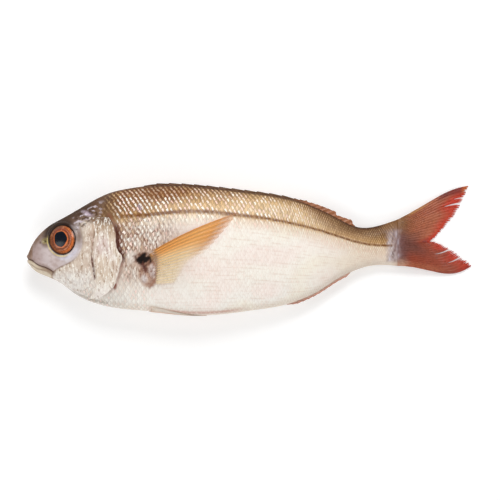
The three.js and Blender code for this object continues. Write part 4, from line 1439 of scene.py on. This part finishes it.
amber_fin = make_fin_material("amber_fin", AMBER_RAY, AMBER_WEB, 0.45, blotched=0.1, clear=True)
for word, side in (("left", 1), ("right", -1)):
    (outer, inner), across, along = pectoral_faces(side)
    fin_tone, cover = pectoral_colours(across, along)
    length = PECTORAL_LAST_RAY + (PECTORAL_LENGTH - PECTORAL_LAST_RAY) * (1 - across) ** PECTORAL_TAPER
    fin = closed_sheet(
        f"{word}_pectoral_fan",
        outer,
        inner,
        tones={"fin_tone": fin_tone},
        values={
            "cover": cover,
            "ray_count": across * PECTORAL_RAYS,
            "along_ray": along * length,
            "branching": smooth(0.45, 0.8, along) * 0.5,
            "ray_show": smooth(0, 0.15, along) * (1 - 0.35 * smooth(0.3, 0.8, across)),
        },
    )
    fin.data.materials.append(amber_fin)
    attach(fin, "root")
    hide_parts(f"{word}_pectoral_fin")

# ---------------------------------------------------------------------------------------------------
# The pelvic fins. Each is a narrow fan of one spine and five soft rays in a pale skin, folded back
# against the belly beside its edge.

PELVIC_STATION = 0.325
PELVIC_LENGTH = 33
PELVIC_ROOT_WIDTH = 5.5
PELVIC_TIP_WIDTH = 1.1
PELVIC_SPACING = 3
PELVIC_LIFT = 0.1
PELVIC_RAYS = 6
PELVIC_ROWS = 97
PELVIC_COLUMNS = 90

PELVIC_PALE = srgb(250, 242, 232)
PELVIC_REDDISH = srgb(222, 180, 160)


def belly_level(station, offset):
    """The level, below the middle, at which the skin lies this far from the fish's middle plane."""
    wide = flank_share(station) * BODY_THICKNESS / 2
    share = np.clip(offset * MM / wide, 0, 1) ** (1 / BELLY_ROUNDNESS)
    return -np.maximum(0, 1 - share) ** (1 / FLANK_FLATNESS)


def pelvic_faces(side):
    across = np.linspace(0, 1, PELVIC_ROWS)[:, None]
    along = np.linspace(0, 1, PELVIC_COLUMNS)[None, :]
    ray = 0.5 + 0.5 * np.cos(math.tau * across * PELVIC_RAYS)
    tip = 1 - 0.1 * (1 - ray) * smooth(0.6, 1, along) - 0.22 * across * along
    station = PELVIC_STATION + along * tip * PELVIC_LENGTH * MM / standard_length
    width = PELVIC_ROOT_WIDTH + (PELVIC_TIP_WIDTH - PELVIC_ROOT_WIDTH) * along
    offset = PELVIC_SPACING / 2 + across * width
    level = belly_level(station, offset)
    thickness = 0.2 + 0.3 * ray * (1 - 0.7 * along)
    y = level_y(station, level)
    down = smooth(6.5, 1.5, offset)
    faces = []
    for height in (PELVIC_LIFT + thickness, PELVIC_LIFT):
        z = middle_z(station) + side * (offset + height * (1 - 0.6 * down)) * MM
        lifted_y = y - height * down * MM
        faces.append(np.stack([body_low.x + station * standard_length, lifted_y, np.maximum(0, z)], axis=-1))
    return faces, across + 0 * along, along + 0 * across


for word, side in (("left", 1), ("right", -1)):
    (outer, inner), across, along = pelvic_faces(side)
    tone = lay(plain_tone(PELVIC_PALE, across), (PELVIC_REDDISH, 0.7 * smooth(0.5, 0.05, across)))
    fin = closed_sheet(
        f"{word}_pelvic_fan",
        outer,
        inner,
        tones={"fin_tone": tone},
        values={
            "cover": (1 - 0.3 * along) * smooth(0, 0.14, along - 0.03 * across),
            "ray_count": across * PELVIC_RAYS,
            "along_ray": along * PELVIC_LENGTH,
            "branching": smooth(0.4, 0.8, along) * 0.6,
            "ray_show": 0 * along + 1,
        },
    )
    fin.data.materials.append(amber_fin)
    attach(fin, "root")
    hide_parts(f"{word}_pelvic_fin")

# ---------------------------------------------------------------------------------------------------
# The dorsal fin. Twelve sharp spines and eleven soft rays in a brown skin, folded down along the back:
# the spines lie in their groove, and the soft rays end in steps, with the last one free.

DORSAL_SPINES = 12
DORSAL_SOFT_RAYS = 11
DORSAL_STATIONS = (0.315, 0.72, 0.885)
DORSAL_STEPS = (0.70, 0.755, 0.833, 0.878)  # where the folded soft rays end in a free tip
DORSAL_STEP_RISES = (0.45, 1, 1)
DORSAL_LEAN = 1.1  # how many rays a ray leans back over
EDGE_FIN_THICKNESS = 1.5

SPINE_BROWN = srgb(72, 44, 26)
DORSAL_MEMBRANE = srgb(138, 96, 62)
SOFT_RAY_BROWN = srgb(178, 112, 74)
BROWN_RAY = srgb(172, 124, 84)
BROWN_WEB = srgb(70, 40, 24)


def folded_fin(name, stations, rays, edge_at, direction, height_at, lean, tone_at, material, columns=700):
    """A fin folded down along the body's edge. The rays lean back from their feet."""
    front, soft, hind = stations
    share = np.linspace(0, 1, columns)[:, None]
    up = np.linspace(0, 1, 14)[None, :]
    station = front + (hind - front) * share
    spiny_rays, soft_rays = rays
    spiny = np.clip((station - front) / (soft - front), 0, 1) * spiny_rays
    count = spiny + np.clip((station - soft) / (hind - soft), 0, 1) * soft_rays
    leaning = count - lean * up
    ray = (0.5 + 0.5 * np.cos(math.tau * leaning)) ** 2
    phase = count % 1
    height = height_at(station, phase)
    reach = 0.1 + (up * (height + 0.3) - 0.4)
    thickness = EDGE_FIN_THICKNESS * (1 - 0.62 * up) * (0.6 + 0.4 * ray)
    x = station * standard_length
    y = edge_at(station) + direction * reach * MM
    faces = []
    for half in (thickness / 2, -thickness / 2):
        z = np.maximum(0, middle_z(station) + half * MM)
        faces.append(np.stack([body_low.x + x + 0 * up, y, z], axis=-1))
    fin = closed_sheet(
        name,
        *faces,
        tones={"fin_tone": tone_at(station + 0 * up, up + 0 * station, ray)},
        values={
            "ray_count": leaning,
            "along_ray": up * height,
            "branching": 0.3 * smooth(soft, soft + 0.05, station + 0 * up),
            "ray_show": 1 - 0.6 * smooth(soft, soft + 0.05, station + 0 * up),
        },
    )
    fin.data.materials.append(material)
    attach(fin, "root")
    return fin


def dorsal_height(station, phase):
    front, soft, hind = DORSAL_STATIONS
    start = smooth(front, front + 0.04, station)
    swell = smooth(soft, soft + 0.05, station)
    end = 1 - smooth(hind - 0.012, hind, station)
    spiny = (0.75 - 0.45 * phase) * (1 - swell)
    rise = np.zeros(station.shape)
    for foot, tip, step_rise in zip(DORSAL_STEPS, DORSAL_STEPS[1:], DORSAL_STEP_RISES):
        here = (station > foot) * (station <= tip)
        rise = rise + step_rise * (station - foot) / (tip - foot) * here
    soft_part = (1.2 + 1.6 * rise - 0.25 * phase) * swell
    return 0.4 + (spiny + soft_part) * np.minimum(start, end)


def dorsal_tone(station, up, ray):
    soft = DORSAL_STATIONS[1]
    swell = smooth(soft - 0.02, soft + 0.05, station)
    return lay(
        plain_tone(DORSAL_MEMBRANE, station),
        (SPINE_BROWN, (0.35 + 0.65 * ray) * (1 - swell)),
        (SOFT_RAY_BROWN, swell * 0.85),
        (SPINE_BROWN, smooth(0.75, 1, up) * (0.9 - 0.75 * swell)),
    )


brown_fin = make_fin_material("brown_fin", BROWN_RAY, BROWN_WEB, 0.5)
dorsal = folded_fin(
    "folded_dorsal_fin",
    DORSAL_STATIONS,
    (DORSAL_SPINES, DORSAL_SOFT_RAYS),
    back_y,
    1,
    dorsal_height,
    DORSAL_LEAN,
    dorsal_tone,
    brown_fin,
)
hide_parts("dorsal_fin")

# ---------------------------------------------------------------------------------------------------
# The anal fin. Three short spines and nine soft rays in a thin reddish skin, folded down along the
# belly's edge behind the vent.

ANAL_SPINES = 3
ANAL_SOFT_RAYS = 9
ANAL_STATIONS = (0.7, 0.742, 0.872)
ANAL_LEAN = 0.9
ANAL_COLUMNS = 300

ANAL_RED = srgb(198, 136, 114)
ANAL_PALE = srgb(222, 196, 178)
RED_RAY = srgb(222, 132, 92)
RED_WEB = srgb(104, 40, 26)


def anal_height(station, phase):
    front, _, hind = ANAL_STATIONS
    ends = np.minimum(smooth(front, front + 0.03, station), 1 - smooth(hind - 0.012, hind, station))
    return 0.35 + (1.3 - 0.35 * phase) * ends


def anal_tone(station, up, ray):
    reddened = 0.35 + 0.5 * smooth(0.3, 0.9, up) + 0.2 * ray
    return lay(plain_tone(ANAL_PALE, station), (ANAL_RED, reddened))


red_fin = make_fin_material("red_fin", RED_RAY, RED_WEB, 0.2)
anal = folded_fin(
    "folded_anal_fin",
    ANAL_STATIONS,
    (ANAL_SPINES, ANAL_SOFT_RAYS),
    belly_y,
    -1,
    anal_height,
    ANAL_LEAN,
    anal_tone,
    red_fin,
    ANAL_COLUMNS,
)
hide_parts("anal_fin")

# ---------------------------------------------------------------------------------------------------
# The tail fin. Branched rays, thirty ridges of them, fan out from the tail base in a tough reddish skin
# with two lobes, and droop to the surface. The thin hind margin is frayed and split between rays.

TAIL_RAYS = 30
TAIL_COLUMNS = 601
TAIL_ROWS = 64
TAIL_ROOT_THICKNESS = 2.6
TAIL_EDGE_THICKNESS = 0.8
TAIL_UPPER_TIP = (39.9, 32.1)  # behind and above the middle of the tail base
TAIL_LOWER_TIP = (42.4, -12.9)
TAIL_FORK = (18.6, 0.5)
TAIL_BULGES = (3.3, 2.2)  # how far the upper lobe's margin curves back, and the lower one's up
TAIL_BOWS = (2.1, -4.6)  # how far the upper and the lower edge curve up between root and tip
# Each split's place across the fin, and its depth and width as shares of the rays and of the fin.
TAIL_SPLITS = ((0.155, 0.245, 0.011), (0.105, 0.13, 0.007), (0.735, 0.24, 0.011), (0.867, 0.17, 0.011))

TAIL_SALMON = srgb(180, 102, 70)
TAIL_OLIVE = srgb(148, 96, 62)
TAIL_VIOLET = srgb(112, 74, 66)
TAIL_BRICK = srgb(150, 62, 40)
TAIL_MARGIN_RED = srgb(200, 46, 18)
TAIL_DARK_RED = srgb(112, 34, 34)
TAIL_ORANGE = srgb(206, 104, 44)
TAIL_EDGE_OCHRE = srgb(196, 146, 88)

tail_root_x = (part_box("tail_fin")[0].x - body_low.x) / MM - 0.4
tail_middle_y = ((back_y(1.0) + belly_y(1.0)) / 2 - mid_y) / MM


def tail_faces():
    across = np.linspace(0, 1, TAIL_COLUMNS)[:, None]
    along = np.linspace(0, 1, TAIL_ROWS)[None, :]
    upper = across < 0.5
    share = np.abs(1 - 2 * across)
    tip_x = np.where(upper, TAIL_UPPER_TIP[0], TAIL_LOWER_TIP[0])
    tip_y = np.where(upper, TAIL_UPPER_TIP[1], TAIL_LOWER_TIP[1])
    bulge = np.sin(math.pi * share)
    margin_x = TAIL_FORK[0] + (tip_x - TAIL_FORK[0]) * share + np.where(upper, TAIL_BULGES[0] * bulge, 0)
    early = np.sin(math.pi * share**0.7)
    margin_y = TAIL_FORK[1] + (tip_y - TAIL_FORK[1]) * share + np.where(upper, 0, TAIL_BULGES[1] * early)
    chance = np.random.default_rng(41)
    count = across * TAIL_RAYS * 2
    phase = count % 1
    ray_reach = chance.uniform(-1, 1, TAIL_RAYS * 2 + 2)[np.floor(count).astype(int)]
    fringe = 1 + 0.018 * ray_reach - (0.02 + 0.045 * bulge) * (2 * np.abs(phase - 0.5)) ** 2
    for place, depth, width in TAIL_SPLITS:
        fringe = fringe - depth * (1 - smooth(0.15 * width, width, np.abs(across - place)))
    root_y = ((back_y(1.0) - mid_y) + across * (belly_y(1.0) - back_y(1.0))) / MM - tail_middle_y
    reach = along * fringe
    x = margin_x * reach
    side_bow = np.where(upper, TAIL_BOWS[0] * (1 - 2 * across), TAIL_BOWS[1] * (2 * across - 1))
    y = root_y + (margin_y - root_y) * reach + side_bow * np.sin(math.pi * np.clip(reach, 0, 1) ** 1.9)
    ray = (0.5 + 0.5 * np.cos(math.tau * across * TAIL_RAYS)) ** 1.3
    fold = 0.5 * np.sin(9 * across + 3) * smooth(0.2, 0.9, reach) * smooth(0, 0.15, across) * (across < 0.9)
    thickness = TAIL_ROOT_THICKNESS + (TAIL_EDGE_THICKNESS - TAIL_ROOT_THICKNESS) * reach
    thickness = thickness * (1 - 0.5 * smooth(0.9, 1, along)) * (0.72 + 0.28 * ray)
    body_end = np.maximum(0.4, 2 * half_thickness(1.0, 1 - 2 * across) / MM - 0.1)
    thickness = thickness + (body_end - thickness) * (1 - smooth(0.3, 6, x))
    droop = smooth(0, 0.8, reach)
    middle = middle_z(1.0) / MM * (1 - droop) + (0.55 + 0.5 * np.maximum(0, fold)) * droop
    faces = []
    for half in (thickness / 2, -thickness / 2):
        z = np.maximum(0, middle + half)
        place = np.stack([tail_root_x + x, tail_middle_y + y, z], axis=-1) * MM
        faces.append(place + np.array([body_low.x, mid_y, 0]))
    return faces, tail_root_x + x, tail_middle_y + y, across + 0 * reach, reach


def tail_colours(x, y, across, reach):
    noise = soft_noise(reach * 26, across * 34, 51)
    streak = soft_noise(reach * 5, across * 120, 52)
    upper = 1 - smooth(0.44, 0.54, across)
    to_margin = smooth(0.66, 1.02, reach + 0.05 * noise + 0.13 * streak)
    near_fork = 1 - smooth(0.05, 0.28, np.abs(across - 0.56))
    ochre = (1 - smooth(0.01, 0.06, across)) * band(reach, 0.08, 0.2, 0.3, 0.55)
    fork_spot = ridge(np.hypot((across - 0.5) / 0.045, (reach - 0.82) / 0.16), 1.0)
    tone = lay(
        plain_tone(TAIL_SALMON, across),
        (TAIL_BRICK, (1 - upper) * 0.85),
        (TAIL_BRICK, 0.3 * smooth(0.2, 1, noise)),
        (TAIL_OLIVE, (1 - smooth(0.1, 0.55, reach + 0.08 * streak)) * upper * 0.8),
        (TAIL_BRICK, smooth(0.1, 0.9, streak) * smooth(0.1, 0.4, reach) * 0.35),
        (TAIL_VIOLET, (1 - smooth(0.35, 0.8, reach)) * near_fork * 0.85),
        (TAIL_SALMON, smooth(0.86, 0.95, across) * (1 - smooth(0.5, 0.8, reach)) * 0.75),
        (TAIL_MARGIN_RED, to_margin * 0.95),
        (TAIL_DARK_RED, 0.85 * (1 - smooth(0.03, 0.09, across)) * smooth(0.5, 0.68, reach)),
        (TAIL_DARK_RED, 0.4 * smooth(0.95, 0.99, across) * smooth(0.35, 0.6, reach)),
        (TAIL_EDGE_OCHRE, ochre * 0.8),
        (TAIL_ORANGE, (1 - smooth(0.02, 0.08, across)) * smooth(0.9, 0.98, reach)),
        (TAIL_DARK_RED, fork_spot * 0.9),
    )
    root = 1 - smooth(1.5, 9, x - tail_root_x + streak)
    return lay(tone, (over_tail_base(tone, x, y, across), root))


tail_sheet, tail_x, tail_y, across, reach = tail_faces()
tail = closed_sheet(
    "tail_fan",
    *tail_sheet,
    tones={"fin_tone": tail_colours(tail_x, tail_y, across, reach)},
    values={
        "ray_count": across * TAIL_RAYS,
        "along_ray": reach * TAIL_UPPER_TIP[0],
        "branching": smooth(0.3, 0.75, reach),
        "ray_show": smooth(0.02, 0.3, reach),
    },
)
tail.data.materials.append(red_fin)
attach(tail, "root")
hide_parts("tail_fin")

# ---------------------------------------------------------------------------------------------------
# The stage: a plain white floor, four soft square lights (on the back's side, the belly's side and at
# both ends) and weak light all round, with the camera straight above.

FLOOR_HALF = 2.0
FLOOR_DROP = 0.05 * MM
FLOOR_WHITE = (0.75, 0.75, 0.75, 1)
FLOOR_GLOW = 0.34
FLOOR_ROUGHNESS = 0.9
ROOM_LIGHT = 0.3

floor_mesh = bpy.data.meshes.new("floor")
floor_mesh.from_pydata(
    [(x * FLOOR_HALF, y * FLOOR_HALF, -FLOOR_DROP) for x, y in ((-1, -1), (1, -1), (1, 1), (-1, 1))],
    [],
    [(0, 1, 2, 3)],
)
floor = bpy.data.objects.new("floor", floor_mesh)
bpy.context.scene.collection.objects.link(floor)
floor_material = bpy.data.materials.new("white_floor")
floor_material.use_nodes = True
floor_shader = floor_material.node_tree.nodes["Principled BSDF"]
floor_shader.inputs["Base Color"].default_value = FLOOR_WHITE
floor_shader.inputs["Emission Color"].default_value = (1, 1, 1, 1)
floor_shader.inputs["Emission Strength"].default_value = FLOOR_GLOW
floor_shader.inputs["Roughness"].default_value = FLOOR_ROUGHNESS
floor_mesh.materials.append(floor_material)
floor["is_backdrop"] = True

world = bpy.data.worlds.new("soft_room")
world.use_nodes = True
world.node_tree.nodes["Background"].inputs["Color"].default_value = (1, 1, 1, 1)
world.node_tree.nodes["Background"].inputs["Strength"].default_value = ROOM_LIGHT
bpy.context.scene.world = world
bpy.context.scene.view_settings.view_transform = "Standard"


def area_light(name, place, size, watts):
    """A square light that faces the fish."""
    light = bpy.data.lights.new(name, "AREA")
    light.shape = "SQUARE"
    light.size = size
    light.energy = watts
    lamp = bpy.data.objects.new(name, light)
    lamp.location = place
    lamp.rotation_euler = (-Vector(place)).to_track_quat("-Z", "Y").to_euler()
    bpy.context.scene.collection.objects.link(lamp)


area_light("back_side_softbox", (0.1, 0.8, 0.8), 0.6, 7.8)
area_light("belly_side_softbox", (0.0, -1.1, 0.6), 0.9, 6.4)
area_light("head_side_softbox", (-0.85, 0.0, 0.85), 0.5, 2.2)
area_light("tail_side_softbox", (0.85, 0.0, 0.85), 0.5, 1.6)

whole_low, whole_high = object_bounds()
middle = (whole_low + whole_high) / 2
FRAME_WIDTH = 279.6 * MM
CAMERA_HEIGHT = 1.6
camera_data = bpy.data.cameras.new("camera")
camera_data.sensor_width = 36
camera_data.lens = camera_data.sensor_width * (CAMERA_HEIGHT - middle.z) / FRAME_WIDTH
camera = bpy.data.objects.new("camera", camera_data)
camera.location = (middle.x, mid_y, CAMERA_HEIGHT)
bpy.context.scene.collection.objects.link(camera)
bpy.context.scene.camera = camera
